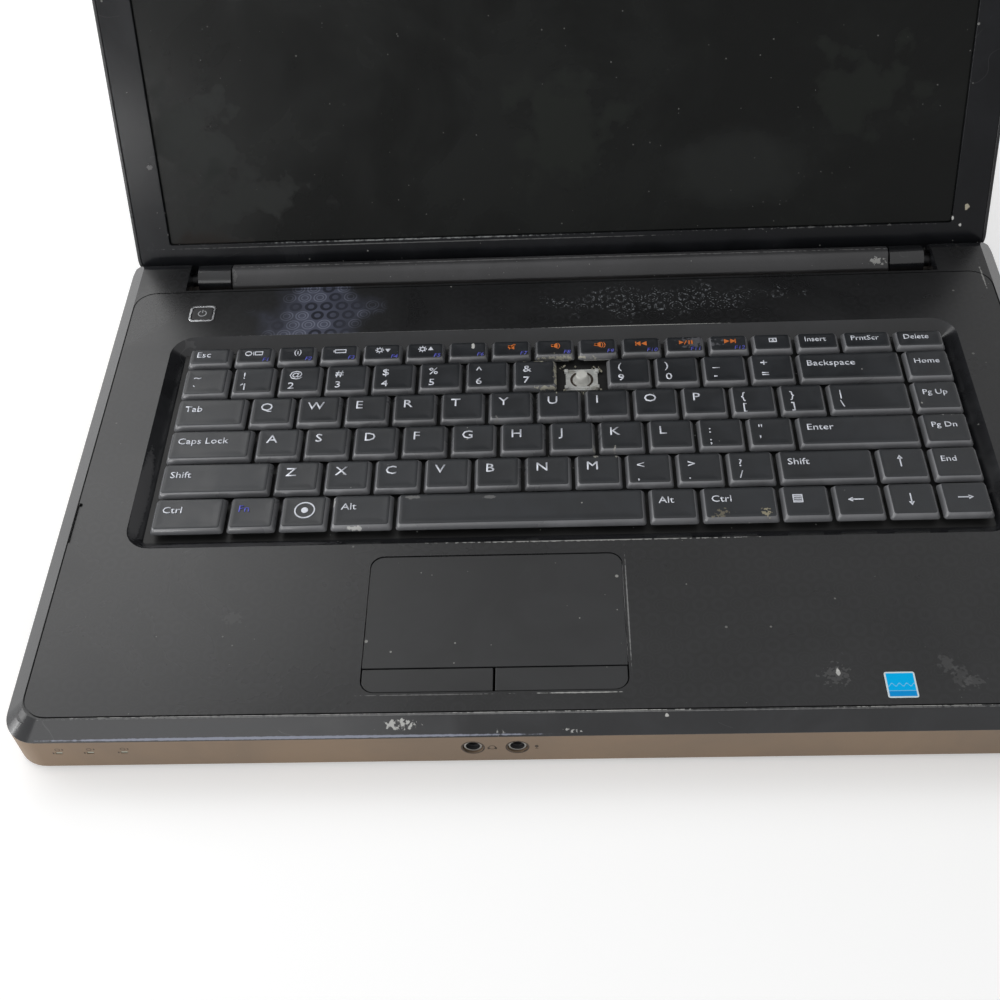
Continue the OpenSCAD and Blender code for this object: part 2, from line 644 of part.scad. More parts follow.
module disc_drive_case() color([0.66, 0.67, 0.69]) difference() {
    box([drive_x0, right_x - tray_lip - run_gap], [drive_y0, drive_y1], [drive_z, drive_z + drive_h]);
    box([drive_x0 + skin, right_x], [drive_y0 + skin, drive_y1 - skin],
        [drive_z + skin, drive_z + drive_h - skin]);
}
module disc_tray() color([0.15, 0.15, 0.16]) {
    y = [drive_y0 + skin + run_gap, drive_y1 - skin - run_gap];
    difference() {
        box([drive_x0 + skin + 2, right_x - tray_lip + eps], y, [tray_z, tray_z + 6]);
        translate([spindle_x, spindle_y, tray_z + 3.5]) cylinder(h = far, r = disc_r + 1);
    }
    difference() {
        slab([right_x - tray_lip, right_x], [drive_y0 + 0.2, drive_y1 - 0.2],
            [drive_z + 0.2, drive_z + drive_h - 0.2], 1);
        box([right_x - 2, right_x + 1], [eject_y - run_gap, eject_y + 9 + run_gap],
            [drive_z + 4, drive_z + 7.4]);
    }
    translate([spindle_x, spindle_y, tray_z + 3.5 - eps]) cylinder(h = 3.4, r = fan_pin_r);
}
module disc_spindle() color([0.6, 0.6, 0.6]) translate([spindle_x, spindle_y, tray_z + 3.5 + run_gap])
    difference() {
        union() {
            cylinder(h = 2, r = 15);
            cylinder(h = 4.2, r = 7.4);
        }
        translate([0, 0, -1]) cylinder(h = 4.6, r = fan_pin_r + pin_gap);
    }
module eject_button() color([0.2, 0.2, 0.2])
    box([right_x - 1.2, right_x], [eject_y, eject_y + 9], [drive_z + 4 + run_gap, drive_z + 7.4 - run_gap]);

module service_cover() color([0.45, 0.39, 0.33])
    box(cover_x + [0.2, -0.2], cover_y + [0.2, -0.2], [foot_h, foot_h + cover_t]);
module case_screws() color([0.3, 0.3, 0.32]) for (p = corner_post) translate([p[0], p[1], foot_h + 0.2]) {
    cylinder(h = 0.8, r = 2.4);
    cylinder(h = seam_z - foot_h + 1.5, r = screw_r);
}
module rubber_feet() color([0.05, 0.05, 0.05]) for (x = [-foot_x, foot_x], y = foot_y)
    translate([x, y, 0]) cylinder(h = foot_h, r = foot_r);

module hinge_brackets() color([0.58, 0.59, 0.6]) both_sides() {
    x = block_in + wall;
    y = [axis_y - 24, axis_y + block_foot - wall - 0.4];
    box([x + 1, x + 12], y, [inside_z, inside_z + 1.6]);
    along_x([x + 1, x + 3]) union() {
        translate([axis_y, axis_z]) circle(block_r - wall - 0.4);
        translate([y[0], inside_z]) square([y[1] - y[0], axis_z - inside_z]);
    }
    translate([arm_x[0] - 1.5, axis_y, axis_z]) rotate([0, 90, 0])
        cylinder(h = x + 3 - arm_x[0] + 1.5, r = pin_r);
}

module status_lights() color([0.7, 0.75, 0.6]) for (x = light_x)
    box([x - 1.1, x + 1.1], [front_y + 0.2, front_y + wall + 2], [jack_z - 0.5, jack_z + 0.5]);

module colour_label() color([0.25, 0.35, 0.6])
    slab([label_x, label_x + label_w], [label_y, label_y + label_w], [deck_z, deck_z + 0.1], 0.8);

// Lid
module lid_outline(inset)
    round_rect([-lid_w / 2 + inset, lid_w / 2 - inset], [lid_foot + inset, lid_top - inset], 10 - inset);
// The lid's side view with its rounded back edges
module lid_side(inset, front) {
    r = lid_edge_r - inset;
    y = [lid_foot + inset, lid_top - inset];
    z = [back_z + inset, front];
    translate([y[0] + r, z[0]]) square([y[1] - y[0] - 2 * r, z[1] - z[0]]);
    translate([y[0], z[0] + r]) square([y[1] - y[0], z[1] - z[0] - r]);
    for (i = [y[0] + r, y[1] - r]) translate([i, z[0] + r]) circle(r);
}
module lid_body(inset, front) intersection() {
    translate([0, 0, back_z + inset]) linear_extrude(front - back_z - inset) lid_outline(inset);
    along_x([-lid_w, lid_w]) lid_side(inset, front);
}
module lid_cover() color([0.13, 0.13, 0.14]) on_lid() difference() {
    lid_body(0, face_z);
    lid_body(lid_wall, face_z + 1);
}
module lid_bezel() color([0.05, 0.05, 0.055]) on_lid() difference() {
    translate([0, 0, face_z - bezel_t]) linear_extrude(bezel_t) intersection() {
        lid_outline(lid_wall);
        translate([-far, bezel_foot]) square([2 * far, far]);
    }
    slab([-screen_w / 2, screen_w / 2], [screen_foot, screen_foot + screen_h], [-far, far], 1);
}
module display_panel() color([0.03, 0.03, 0.035]) on_lid()
    box([-panel_w / 2, panel_w / 2], panel_y, panel_z);
module bar_section() {
    intersection() {
        circle(barrel_r);
        rotate(90 - bar_tilt) translate([-far, -far]) square([far + bar_flat, 2 * far]);
    }
    translate([lid_foot, face_z]) square([bezel_foot - lid_foot - 0.2, hinge_drop]);
}
module hinge_bar() color([0.42, 0.42, 0.42]) on_lid() along_x([-bar_half, bar_half]) bar_section();
module hinge_caps() color([0.06, 0.06, 0.065]) on_lid() both_sides() difference() {
    along_x([bar_half + 0.4, bar_half + 0.4 + cap_len]) union() {
        circle(barrel_r);
        translate([lid_foot, face_z]) square([bezel_foot - lid_foot - 0.2, hinge_drop]);
    }
    along_x([arm_x[0] - 2, far]) union() {
        circle(eye_r + 0.4);
        translate([-0.3, face_z - 1]) square([1.7, hinge_drop]);
    }
}
module hinge_arms() color([0.6, 0.61, 0.62]) on_lid() both_sides() {
    difference() {
        along_x(arm_x) union() {
            circle(eye_r);
            translate([0.1, face_z - bezel_t - 3.5]) square([1, hinge_drop + bezel_t + 3.5]);
        }
        translate([arm_x[0] - 1, 0, 0]) rotate([0, 90, 0]) cylinder(h = 8, r = pin_r + pin_gap);
    }
    z = [face_z - bezel_t - 3.5, face_z - bezel_t - 0.2];
    box([arm_x[0], panel_w / 2 - 1], [0.1, panel_y[0] - 0.3], z);
    box([arm_x[0], arm_side[1]], [2, panel_y[0] - 0.3], z);
    box(arm_side, [2, panel_y[1] - 40], z);
}
module lid_bumpers() color([0.05, 0.05, 0.05]) on_lid() for (x = [-bumper_x, bumper_x])
    translate([x, lid_top - 10, face_z]) cylinder(h = bumper_h, r = 3);
module display_cable() color([0.2, 0.2, 0.22]) on_lid()
    box([-30, 20], [-0.3, panel_y[0] - 0.2], [face_z - bezel_t - 2, face_z - bezel_t - 0.4]);

// Keys
module function_keys() caps(fn_row, 5, fn_cap_d);
module number_keys() caps(number_row, 4, cap_d);
module backspace_key() caps([[12, nav_edge]], 4, cap_d);
module tab_key() caps([[left_edge, 0.5]], 3, cap_d);
module upper_letter_keys() caps(upper_row, 3, cap_d);
module backslash_key() caps([[12.5, nav_edge]], 3, cap_d);
module caps_lock_key() caps([[left_edge, 0.75]], 2, cap_d);
module middle_letter_keys() caps(middle_row, 2, cap_d);
module enter_key() caps([[11.75, nav_edge]], 2, cap_d);
module left_shift_key() caps([[left_edge, 1.25]], 1, cap_d);
module lower_letter_keys() caps(lower_row, 1, cap_d);
module right_shift_key() caps([[11.25, 13.2]], 1, cap_d);
module modifier_keys() caps(modifiers, 0, cap_d);
module space_bar() caps([space_key], 0, cap_d);
module arrow_and_paging_keys() {
    caps(arrows, 0, cap_d);
    caps([up_key], 1, cap_d);
    for (n = [1:4]) caps([nav_key], n, cap_d);
}

bottom_case();
top_case();
keyboard_plate();
rubber_domes();
scissor_frames();
touchpad();
touchpad_bracket();
motherboard();
heat_sink();
fan_housing();
memory_modules();
wireless_card();
hard_drive();
disc_drive_case();
battery_pack();
speakers();
audio_jacks();
jack_panel();
power_jack();
side_ports();
network_socket();
service_cover();
case_screws();
rubber_feet();
hinge_brackets();
status_lights();
power_button_frame();
colour_label();
clock_cell();
left_click_button();
right_click_button();
power_button();
battery_latch();
fan_rotor();
disc_tray();
disc_spindle();
eject_button();
lid_cover();
lid_bezel();
display_panel();
hinge_bar();
hinge_caps();
hinge_arms();
lid_bumpers();
display_cable();
function_keys();
number_keys();
backspace_key();
tab_key();
upper_letter_keys();
backslash_key();
caps_lock_key();
middle_letter_keys();
enter_key();
left_shift_key();
lower_letter_keys();
right_shift_key();
modifier_keys();
space_bar();
arrow_and_paging_keys();
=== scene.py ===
import json
import math
import random

import bpy
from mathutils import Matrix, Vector


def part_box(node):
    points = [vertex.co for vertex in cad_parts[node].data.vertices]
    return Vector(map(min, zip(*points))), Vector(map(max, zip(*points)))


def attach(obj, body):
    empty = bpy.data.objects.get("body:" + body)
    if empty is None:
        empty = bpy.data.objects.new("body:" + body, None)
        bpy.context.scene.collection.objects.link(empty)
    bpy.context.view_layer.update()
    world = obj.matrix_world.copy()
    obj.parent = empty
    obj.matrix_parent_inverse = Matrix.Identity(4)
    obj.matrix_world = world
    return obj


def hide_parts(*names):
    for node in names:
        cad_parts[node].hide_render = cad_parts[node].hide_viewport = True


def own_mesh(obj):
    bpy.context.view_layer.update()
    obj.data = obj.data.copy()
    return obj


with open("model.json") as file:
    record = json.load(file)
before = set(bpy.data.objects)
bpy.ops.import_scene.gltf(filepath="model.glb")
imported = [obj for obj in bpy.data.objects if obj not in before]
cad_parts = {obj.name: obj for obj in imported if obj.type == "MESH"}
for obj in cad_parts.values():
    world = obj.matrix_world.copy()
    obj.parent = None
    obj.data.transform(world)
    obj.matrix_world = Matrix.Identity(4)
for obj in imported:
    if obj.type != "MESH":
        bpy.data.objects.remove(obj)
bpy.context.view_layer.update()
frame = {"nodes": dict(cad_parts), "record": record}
scene = bpy.context.scene
mm = 0.001


# The studio: a camera above the front edge, a pale table top that glows a little where it is seen
# directly, and even light from all round. Five soft lamps stand behind, at the left and in front.
camera_place = Vector((-2.92, -391.98, 401.6)) * mm
camera_turn = (40.528, 2.588, 0.6055)
bpy.ops.object.camera_add(location=camera_place, rotation=[math.radians(a) for a in camera_turn])
camera = bpy.context.object
camera.data.sensor_width = 36
camera.data.lens = 48.27
camera.data.clip_start = 0.01
scene.camera = camera
scene.view_settings.view_transform = "Standard"


def add_node(tree, kind, settings=(), values=()):
    """Adds a shader node. A value that is another node's output is linked, any other is written."""
    made = tree.nodes.new(kind)
    for name, value in dict(settings).items():
        setattr(made, name, value)
    for name, value in dict(values).items():
        if isinstance(value, bpy.types.NodeSocket):
            tree.links.new(value, made.inputs[name])
        else:
            made.inputs[name].default_value = value
    return made


def calc(tree, operation, *values, clamp=False):
    """One Math node, as a socket."""
    settings = {"operation": operation, "use_clamp": clamp}
    return add_node(tree, "ShaderNodeMath", settings, dict(enumerate(values))).outputs[0]


def calc_vector(tree, operation, *values):
    """One Vector Math node, as a socket: a number for a length, and otherwise a vector."""
    made = add_node(tree, "ShaderNodeVectorMath", {"operation": operation}, dict(enumerate(values)))
    return made.outputs["Value" if operation == "LENGTH" else "Vector"]


def noise(tree, where, scale, detail, **more):
    """A noise texture's value."""
    values = {"Vector": where, "Scale": scale, "Detail": detail, **more}
    return add_node(tree, "ShaderNodeTexNoise", {}, values).outputs[0]


def seen_directly(tree):
    """1 for what the camera sees, directly, in a reflection or through glass, and 0 for plain light."""
    path = add_node(tree, "ShaderNodeLightPath").outputs
    either = calc(tree, "MAXIMUM", path["Is Camera Ray"], path["Is Glossy Ray"])
    return calc(tree, "MAXIMUM", either, path["Is Transmission Ray"])


room_light = 0.44
table_light = 0.3
world = bpy.data.worlds.new("soft_room")
scene.world = world
world.use_nodes = True
world_tree = world.node_tree
background = world_tree.nodes["Background"]
background.inputs["Color"].default_value = (1, 1, 1, 1)
strength = calc(world_tree, "MULTIPLY", seen_directly(world_tree), 1 - room_light)
world_tree.links.new(calc(world_tree, "ADD", strength, room_light), background.inputs["Strength"])

bpy.ops.mesh.primitive_plane_add(size=8, location=(0, 0, 0))
table_top = bpy.context.object
table_top.name = "table_top"
table_paint = bpy.data.materials.new("table_paint")
table_paint.use_nodes = True
table_shader = table_paint.node_tree.nodes["Principled BSDF"]
table_shader.inputs["Base Color"].default_value = (0.86, 0.86, 0.86, 1)
table_shader.inputs["Roughness"].default_value = 0.9
table_shader.inputs["Specular IOR Level"].default_value = 0.1
table_shader.inputs["Emission Color"].default_value = (1, 1, 1, 1)
glow = calc(table_paint.node_tree, "MULTIPLY", seen_directly(table_paint.node_tree), table_light)
table_paint.node_tree.links.new(glow, table_shader.inputs["Emission Strength"])
table_top.data.materials.append(table_paint)


def add_lamp(name, place, aim, width, height, watts):
    """A rectangular soft lamp at place, turned to face aim."""
    bpy.ops.object.light_add(type="AREA", location=place)
    lamp = bpy.context.object
    lamp.name = name
    lamp.data.shape = "RECTANGLE"
    lamp.data.size = width
    lamp.data.size_y = height
    lamp.data.energy = watts
    lamp.rotation_euler = (Vector(aim) - Vector(place)).to_track_quat("-Z", "Y").to_euler()


add_lamp("rear_left_softbox", (-0.85, 0.75, 1.05), (-0.1, -0.05, 0), 1.1, 0.8, 7.5)
add_lamp("left_window", (-1.5, 0.1, 0.4), (0, -0.1, 0.02), 0.9, 0.5, 7.0)
add_lamp("front_left_window", (-0.95, -1.25, 0.24), (-0.1, -0.1, 0), 0.8, 0.14, 5.5)
add_lamp("left_glint", (-1.4, -0.38, 0.19), (-0.18, -0.16, 0.02), 0.28, 0.2, 2.4)
add_lamp("front_left_softbox", (-0.65, -1.3, 0.78), (-0.1, -0.1, 0), 0.9, 0.6, 3.0)


# The lower case is one taupe injection moulding: floor, walls, ports, vents and the low ledge
# behind the hinge trough. A trim round the audio jacks is moulded in one with its front wall. Its
# finish is built here from the shader effects that the other mouldings share.
def new_group(name, inputs, outputs):
    """An empty shader group with named sockets; returns its tree, input sockets and output node."""
    tree = bpy.data.node_groups.new(name, "ShaderNodeTree")
    for socket, kind, value in inputs:
        made = tree.interface.new_socket(socket, in_out="INPUT", socket_type="NodeSocket" + kind)
        if value is not None:
            made.default_value = value
    for socket, kind in outputs:
        tree.interface.new_socket(socket, in_out="OUTPUT", socket_type="NodeSocket" + kind)
    return tree, tree.nodes.new("NodeGroupInput").outputs, tree.nodes.new("NodeGroupOutput")


def use_group(tree, group, values):
    """Places a shader group in a material's tree and returns its first output."""
    return add_node(tree, "ShaderNodeGroup", {"node_tree": group}, values).outputs[0]


def ramp(tree, value, low, high, to_low=0.0, to_high=1.0):
    """A smooth step of value from low to high."""
    settings = {"interpolation_type": "SMOOTHSTEP"}
    return add_node(tree, "ShaderNodeMapRange", settings,
                    {0: value, 1: low, 2: high, 3: to_low, 4: to_high}).outputs[0]


# Grain of a moulded or painted surface: two sizes of noise.
fine_grain, given, result = new_group(
    "fine_grain", [("Vector", "Vector", None), ("Scale", "Float", 3000)], [("Height", "Float")])
coarse = noise(fine_grain, given["Vector"], given["Scale"], 2)
fine = noise(fine_grain, given["Vector"], calc(fine_grain, "MULTIPLY", given["Scale"], 2.7), 1)
fine_grain.links.new(calc(fine_grain, "MULTIPLY_ADD", fine, 0.5, coarse), result.inputs[0])

# Cloudy patches, as a wiped or handled surface shows.
cloudy, given, result = new_group(
    "cloudy", [("Vector", "Vector", None), ("Scale", "Float", 20)], [("Amount", "Float")])
cloud = noise(cloudy, given["Vector"], given["Scale"], 5, Roughness=0.62, Distortion=0.6)
cloudy.links.new(ramp(cloudy, cloud, 0.38, 0.66), result.inputs[0])

# Dust and lint: small dots of mixed size, thinly and unevenly spread.
dust_specks, given, result = new_group(
    "dust_specks", [("Vector", "Vector", None), ("Scale", "Float", 250), ("Share", "Float", 0.3)],
    [("Mask", "Float")])
cells = add_node(dust_specks, "ShaderNodeTexVoronoi", {},
                 {"Vector": given["Vector"], "Scale": given["Scale"]})
chance = add_node(dust_specks, "ShaderNodeSeparateColor", {}, {0: cells.outputs["Color"]}).outputs
size = calc(dust_specks, "MULTIPLY_ADD", calc(dust_specks, "POWER", chance[1], 3.0), 0.11, 0.035)
dot = calc(dust_specks, "LESS_THAN", cells.outputs["Distance"], size)
kept = calc(dust_specks, "LESS_THAN", chance[0], given["Share"])
dust_specks.links.new(calc(dust_specks, "MULTIPLY", dot, kept), result.inputs[0])

# Hairline scratches and fibres: thin winding lines that come and go.
hairlines, given, result = new_group(
    "hairlines", [("Vector", "Vector", None), ("Scale", "Float", 40), ("Share", "Float", 0.5)],
    [("Mask", "Float")])
bend = noise(hairlines, given["Vector"], given["Scale"], 1)
off_middle = calc(hairlines, "ABSOLUTE", calc(hairlines, "SUBTRACT", bend, 0.5))
line = calc(hairlines, "LESS_THAN", off_middle, 0.0022)
patchy = noise(hairlines, given["Vector"], calc(hairlines, "MULTIPLY", given["Scale"], 0.9), 2)
shown = calc(hairlines, "LESS_THAN", patchy, given["Share"])
hairlines.links.new(calc(hairlines, "MULTIPLY", line, shown), result.inputs[0])

# One worn, scraped or dirty place, or a painted highlight, sheen or reflection: an oval of half size
# about a centre, with a ragged edge.
wear_and_highlight_patch, given, result = new_group(
    "wear_and_highlight_patch",
    [("Vector", "Vector", None), ("Centre", "Vector", None), ("Half Size", "Vector", None),
     ("Break Up", "Float", 900), ("Ragged", "Float", 1.2), ("Soft", "Float", 0.3)], [("Mask", "Float")])
away = calc_vector(wear_and_highlight_patch, "SUBTRACT", given["Vector"], given["Centre"])
reach = calc_vector(wear_and_highlight_patch, "LENGTH", calc_vector(wear_and_highlight_patch, "DIVIDE", away, given["Half Size"]))
crumbled = noise(wear_and_highlight_patch, given["Vector"], given["Break Up"], 3)
rough_edge = calc(wear_and_highlight_patch, "MULTIPLY", calc(wear_and_highlight_patch, "SUBTRACT", crumbled, 0.5), given["Ragged"])
inner = calc(wear_and_highlight_patch, "SUBTRACT", 1.05, given["Soft"])
wear_and_highlight_patch.links.new(
    ramp(wear_and_highlight_patch, calc(wear_and_highlight_patch, "MULTIPLY_ADD", rough_edge, 2.0, reach), 1.05, inner),
    result.inputs[0])


def blend_colour(tree, amount, under, over):
    """Covers the colour or socket "under" with "over" by amount."""
    return add_node(tree, "ShaderNodeMix", {"data_type": "RGBA"}, {0: amount, 6: under, 7: over}).outputs[2]


def colour(red, green, blue):
    """A colour as a shader takes it."""
    return (red, green, blue, 1)


def place_on(tree):
    """Object coordinates, which are the object's own metres."""
    return add_node(tree, "ShaderNodeTexCoord").outputs["Object"]


def finish_surface(material, base, rough, height, depth):
    """Links a material's colour, roughness and bump to its shader."""
    tree = material.node_tree
    shader = tree.nodes["Principled BSDF"]
    bump = add_node(tree, "ShaderNodeBump", {}, {"Strength": 1.0, "Distance": depth, "Height": height})
    tree.links.new(base, shader.inputs["Base Color"])
    tree.links.new(rough, shader.inputs["Roughness"])
    tree.links.new(bump.outputs[0], shader.inputs["Normal"])


dust_colour = colour(0.42, 0.42, 0.40)


def moulded_plastic(name, paint, rough, specular=0.5, grain=3000, depth=0.01 * mm, clouds=22,
                    cloud_rough=0.12, cloud_tone=0.2, dust=0.1, dust_scale=260, dust_strength=0.7,
                    scratches=0.0, marks=(), mark_scale=700, mark_soft=0.3):
    """A moulded plastic with grain, handled patches, dust, scratches and its own placed marks.

    A mark is its centre and half size in millimetres, its raggedness, its colour and its strength.
    """
    material = bpy.data.materials.new(name)
    material.use_nodes = True
    tree = material.node_tree
    shader = tree.nodes["Principled BSDF"]
    shader.inputs["Specular IOR Level"].default_value = specular
    where = place_on(tree)
    haze = use_group(tree, cloudy, {"Vector": where, "Scale": clouds})
    lighter = colour(*[min(1, c * (1 + cloud_tone * 2.2) + 0.004 * cloud_tone) for c in paint[:3]])
    base = blend_colour(tree, haze, paint, lighter)
    worn = calc(tree, "MULTIPLY", haze, cloud_rough)
    if scratches:
        lines = use_group(tree, hairlines, {"Vector": where, "Scale": 45, "Share": scratches})
        pale = colour(*[min(1, c * 1.5 + 0.03) for c in paint[:3]])
        base = blend_colour(tree, calc(tree, "MULTIPLY", lines, 0.7), base, pale)
    if dust:
        specks = use_group(tree, dust_specks, {"Vector": where, "Scale": dust_scale, "Share": dust})
        base = blend_colour(tree, calc(tree, "MULTIPLY", specks, dust_strength), base, dust_colour)
        worn = calc(tree, "MULTIPLY_ADD", specks, 0.4, worn)
    for centre, half, ragged, tint, strong in marks:
        patch = use_group(tree, wear_and_highlight_patch, {
            "Vector": where, "Centre": [c * mm for c in centre], "Half Size": [h * mm for h in half],
            "Ragged": ragged, "Break Up": mark_scale, "Soft": mark_soft})
        patch = calc(tree, "MULTIPLY", patch, strong)
        base = blend_colour(tree, patch, base, tint)
        worn = calc(tree, "MULTIPLY_ADD", patch, 0.35, worn)
    height = use_group(tree, fine_grain, {"Vector": where, "Scale": grain})
    finish_surface(material, base, calc(tree, "ADD", worn, rough, clamp=True), height, depth)
    return material


def give_finish(piece, material):
    """Covers the whole piece, or a CAD node, with one material."""
    piece.data.materials.clear()
    piece.data.materials.append(material)


def pick(piece):
    """Makes one object the only selected and active one."""
    bpy.ops.object.select_all(action="DESELECT")
    piece.select_set(True)
    bpy.context.view_layer.objects.active = piece


def apply_modifier(piece, kind, **settings):
    """Adds a modifier with its settings and applies it at once."""
    modifier = piece.modifiers.new(kind.lower(), kind)
    for name, value in settings.items():
        setattr(modifier, name, value)
    pick(piece)
    bpy.ops.object.modifier_apply(modifier=modifier.name)


def joined_copy(node, name):
    """A copy of a CAD node's mesh with its loose triangles joined and its flat faces made whole."""
    piece = bpy.data.objects.new(name, frame["nodes"][node].data.copy())
    scene.collection.objects.link(piece)
    piece.data.materials.clear()
    pick(piece)
    bpy.ops.mesh.customdata_custom_splitnormals_clear()
    bpy.ops.object.mode_set(mode="EDIT")
    bpy.ops.mesh.select_all(action="SELECT")
    bpy.ops.mesh.remove_doubles(threshold=0.002 * mm)
    bpy.ops.mesh.dissolve_limited(angle_limit=math.radians(0.4))
    bpy.ops.object.mode_set(mode="OBJECT")
    return piece


def round_edges(piece, width, segments=2, smooth=32):
    """Rounds the sharp edges of a moulded piece and shades it smoothly up to its creases."""
    apply_modifier(piece, "BEVEL", width=width * mm, segments=segments, limit_method="ANGLE",
                   angle_limit=math.radians(28), use_clamp_overlap=True, harden_normals=False)
    pick(piece)
    bpy.ops.object.shade_smooth_by_angle(angle=math.radians(smooth))
    apply_modifier(piece, "WEIGHTED_NORMAL", keep_sharp=True, weight=50)


def body_of_node(node):
    """The moving body that a CAD node belongs to."""
    bodies = frame["record"]["behaviour"]["bodies"]
    return next(body for body, nodes in bodies.items() if node in nodes)


taupe = colour(0.18, 0.127, 0.084)
black_plastic = moulded_plastic("black_plastic", colour(0.016, 0.016, 0.017), 0.4, 0.4, dust=0.05)
tray_plastic = moulded_plastic("tray_plastic", taupe, 0.42, 0.4, grain=2600, depth=0.012 * mm,
                               clouds=14, cloud_tone=0.1, dust=0.05)
lower_case = joined_copy("bottom_case", "lower_case")
jack_trim = joined_copy("jack_panel", "jack_trim")
trim_low, trim_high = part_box("jack_panel")
trim_overlap = 0.008
jack_trim.scale.x = 1 + trim_overlap
jack_trim.location.x = -trim_overlap * (trim_low[0] + trim_high[0]) / 2
bpy.ops.object.transform_apply(location=True, rotation=True, scale=True)
apply_modifier(lower_case, "BOOLEAN", operation="UNION", object=jack_trim, solver="EXACT")
pick(jack_trim)
bpy.ops.object.delete()
round_edges(lower_case, 0.5)
give_finish(lower_case, tray_plastic)

# The walls of the trough that the hinges lie in are black: painted shade for the dark gaps round the
# hinges. Its floor stays taupe, like the ledge behind it.
trough_half, trough_front, trough_rear, above_floor = 188 * mm, 56 * mm, 82 * mm, 8 * mm
lower_case.data.materials.append(black_plastic)
for face in lower_case.data.polygons:
    spot = face.center
    if abs(spot.x) < trough_half and trough_front < spot.y < trough_rear and spot.z > above_floor:
        face.material_index = 1
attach(lower_case, body_of_node("bottom_case"))
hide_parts("bottom_case", "jack_panel")

# Under the machine: a service cover of the same taupe plastic, the battery with its sliding catch
# in black plastic, glued rubber feet, and the steel screws that hold the case together.
def finish_node(node, name, material, width, segments=2):
    """A finished copy of a CAD node, with rounded edges and its own material, in the node's place."""
    piece = joined_copy(node, name)
    round_edges(piece, width, segments)
    give_finish(piece, material)
    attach(piece, body_of_node(node))
    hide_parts(node)
    return piece


finish_node("service_cover", "service_door", tray_plastic, 0.3)
finish_node("battery_pack", "battery", black_plastic, 0.6)
finish_node("battery_latch", "battery_catch", black_plastic, 0.3)
black_rubber = moulded_plastic("black_rubber", colour(0.02, 0.02, 0.02), 0.75, 0.3, grain=1800,
                               depth=0.02 * mm, dust=0.25)
finish_node("rubber_feet", "glued_feet", black_rubber, 0.6)


def bare_metal(name, tint, rough, stretch=(1, 1, 1), depth=0.004 * mm):
    """A metal with drawn or brushed lines along its long side and a little tarnish."""
    material = bpy.data.materials.new(name)
    material.use_nodes = True
    tree = material.node_tree
    tree.nodes["Principled BSDF"].inputs["Metallic"].default_value = 1
    where = place_on(tree)
    drawn = add_node(tree, "ShaderNodeMapping", {}, {"Vector": where, "Scale": stretch}).outputs[0]
    lines = use_group(tree, fine_grain, {"Vector": drawn, "Scale": 1800})
    tarnish = use_group(tree, cloudy, {"Vector": where, "Scale": 90})
    base = blend_colour(tree, calc(tree, "MULTIPLY", tarnish, 0.5), tint,
                        colour(*[c * 0.6 for c in tint[:3]]))
    finish_surface(material, base, calc(tree, "MULTIPLY_ADD", tarnish, 0.2, rough), lines, depth)
    return material


steel = bare_metal("steel", colour(0.56, 0.56, 0.57), 0.32, stretch=(1, 6, 1))
finish_node("case_screws", "case_fixings", steel, 0.2)

# The jacks and ports: pressed metal shells and moulded sockets on the board's edge, which look out
# through the case walls. Each audio socket is black inside, behind its metal mouth.
port_metal = bare_metal("port_metal", colour(0.36, 0.35, 0.33), 0.34)
audio_sockets = finish_node("audio_jacks", "audio_sockets", port_metal, 0.15)
audio_sockets.data.materials.append(black_plastic)
mouth_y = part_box("audio_jacks")[0][1] + 0.5 * mm
for face in audio_sockets.data.polygons:
    if face.center.y > mouth_y:
        face.material_index = 1
finish_node("side_ports", "side_connectors", port_metal, 0.1)
finish_node("power_jack", "power_inlet", black_plastic, 0.2)
finish_node("network_socket", "network_port", black_plastic, 0.2)
light_lens = moulded_plastic("light_lens", colour(0.34, 0.36, 0.3), 0.2, dust=0)
finish_node("status_lights", "status_lenses", light_lens, 0.1)

# The inside pieces keep their CAD shapes, because they are seen only through ports and vents: the
# green board, the copper heat pipe, the aluminium fins and drive, and the steel hinge parts, which
# are blackened.
board_laminate = moulded_plastic("board_laminate", colour(0.015, 0.1, 0.035), 0.4, grain=1200,
                                 depth=0.03 * mm, clouds=120, cloud_tone=0.6)
copper = bare_metal("copper", colour(0.7, 0.32, 0.2), 0.3, stretch=(1, 8, 1))
aluminium_plate = bare_metal("aluminium_plate", colour(0.68, 0.69, 0.7), 0.38, stretch=(1, 10, 1))
silicone = moulded_plastic("silicone", colour(0.5, 0.5, 0.47), 0.5, 0.3, dust=0.1)
inside_finishes = {
    "steel": steel, "copper": copper, "aluminium_plate": aluminium_plate, "silicone": silicone,
    "board_laminate": board_laminate, "black_plastic": black_plastic, "tray_plastic": tray_plastic,
    "black_rubber": black_rubber, "port_metal": port_metal, "light_lens": light_lens,
}
blackened_steel = bare_metal("blackened_steel", colour(0.05, 0.05, 0.052), 0.45)
for part in frame["record"]["subparts"]:
    if part["material_slot"] in inside_finishes:
        give_finish(frame["nodes"][part["node"]], inside_finishes[part["material_slot"]])
for node in ("hinge_arms", "hinge_brackets"):
    give_finish(frame["nodes"][node], blackened_steel)

# The disc drawer slides out at the right. It is a thin black moulding with a round recess, and a
# small key in its front lets it go.
finish_node("disc_tray", "disc_drawer", black_plastic, 0.3)
finish_node("eject_button", "eject_key", black_plastic, 0.15)

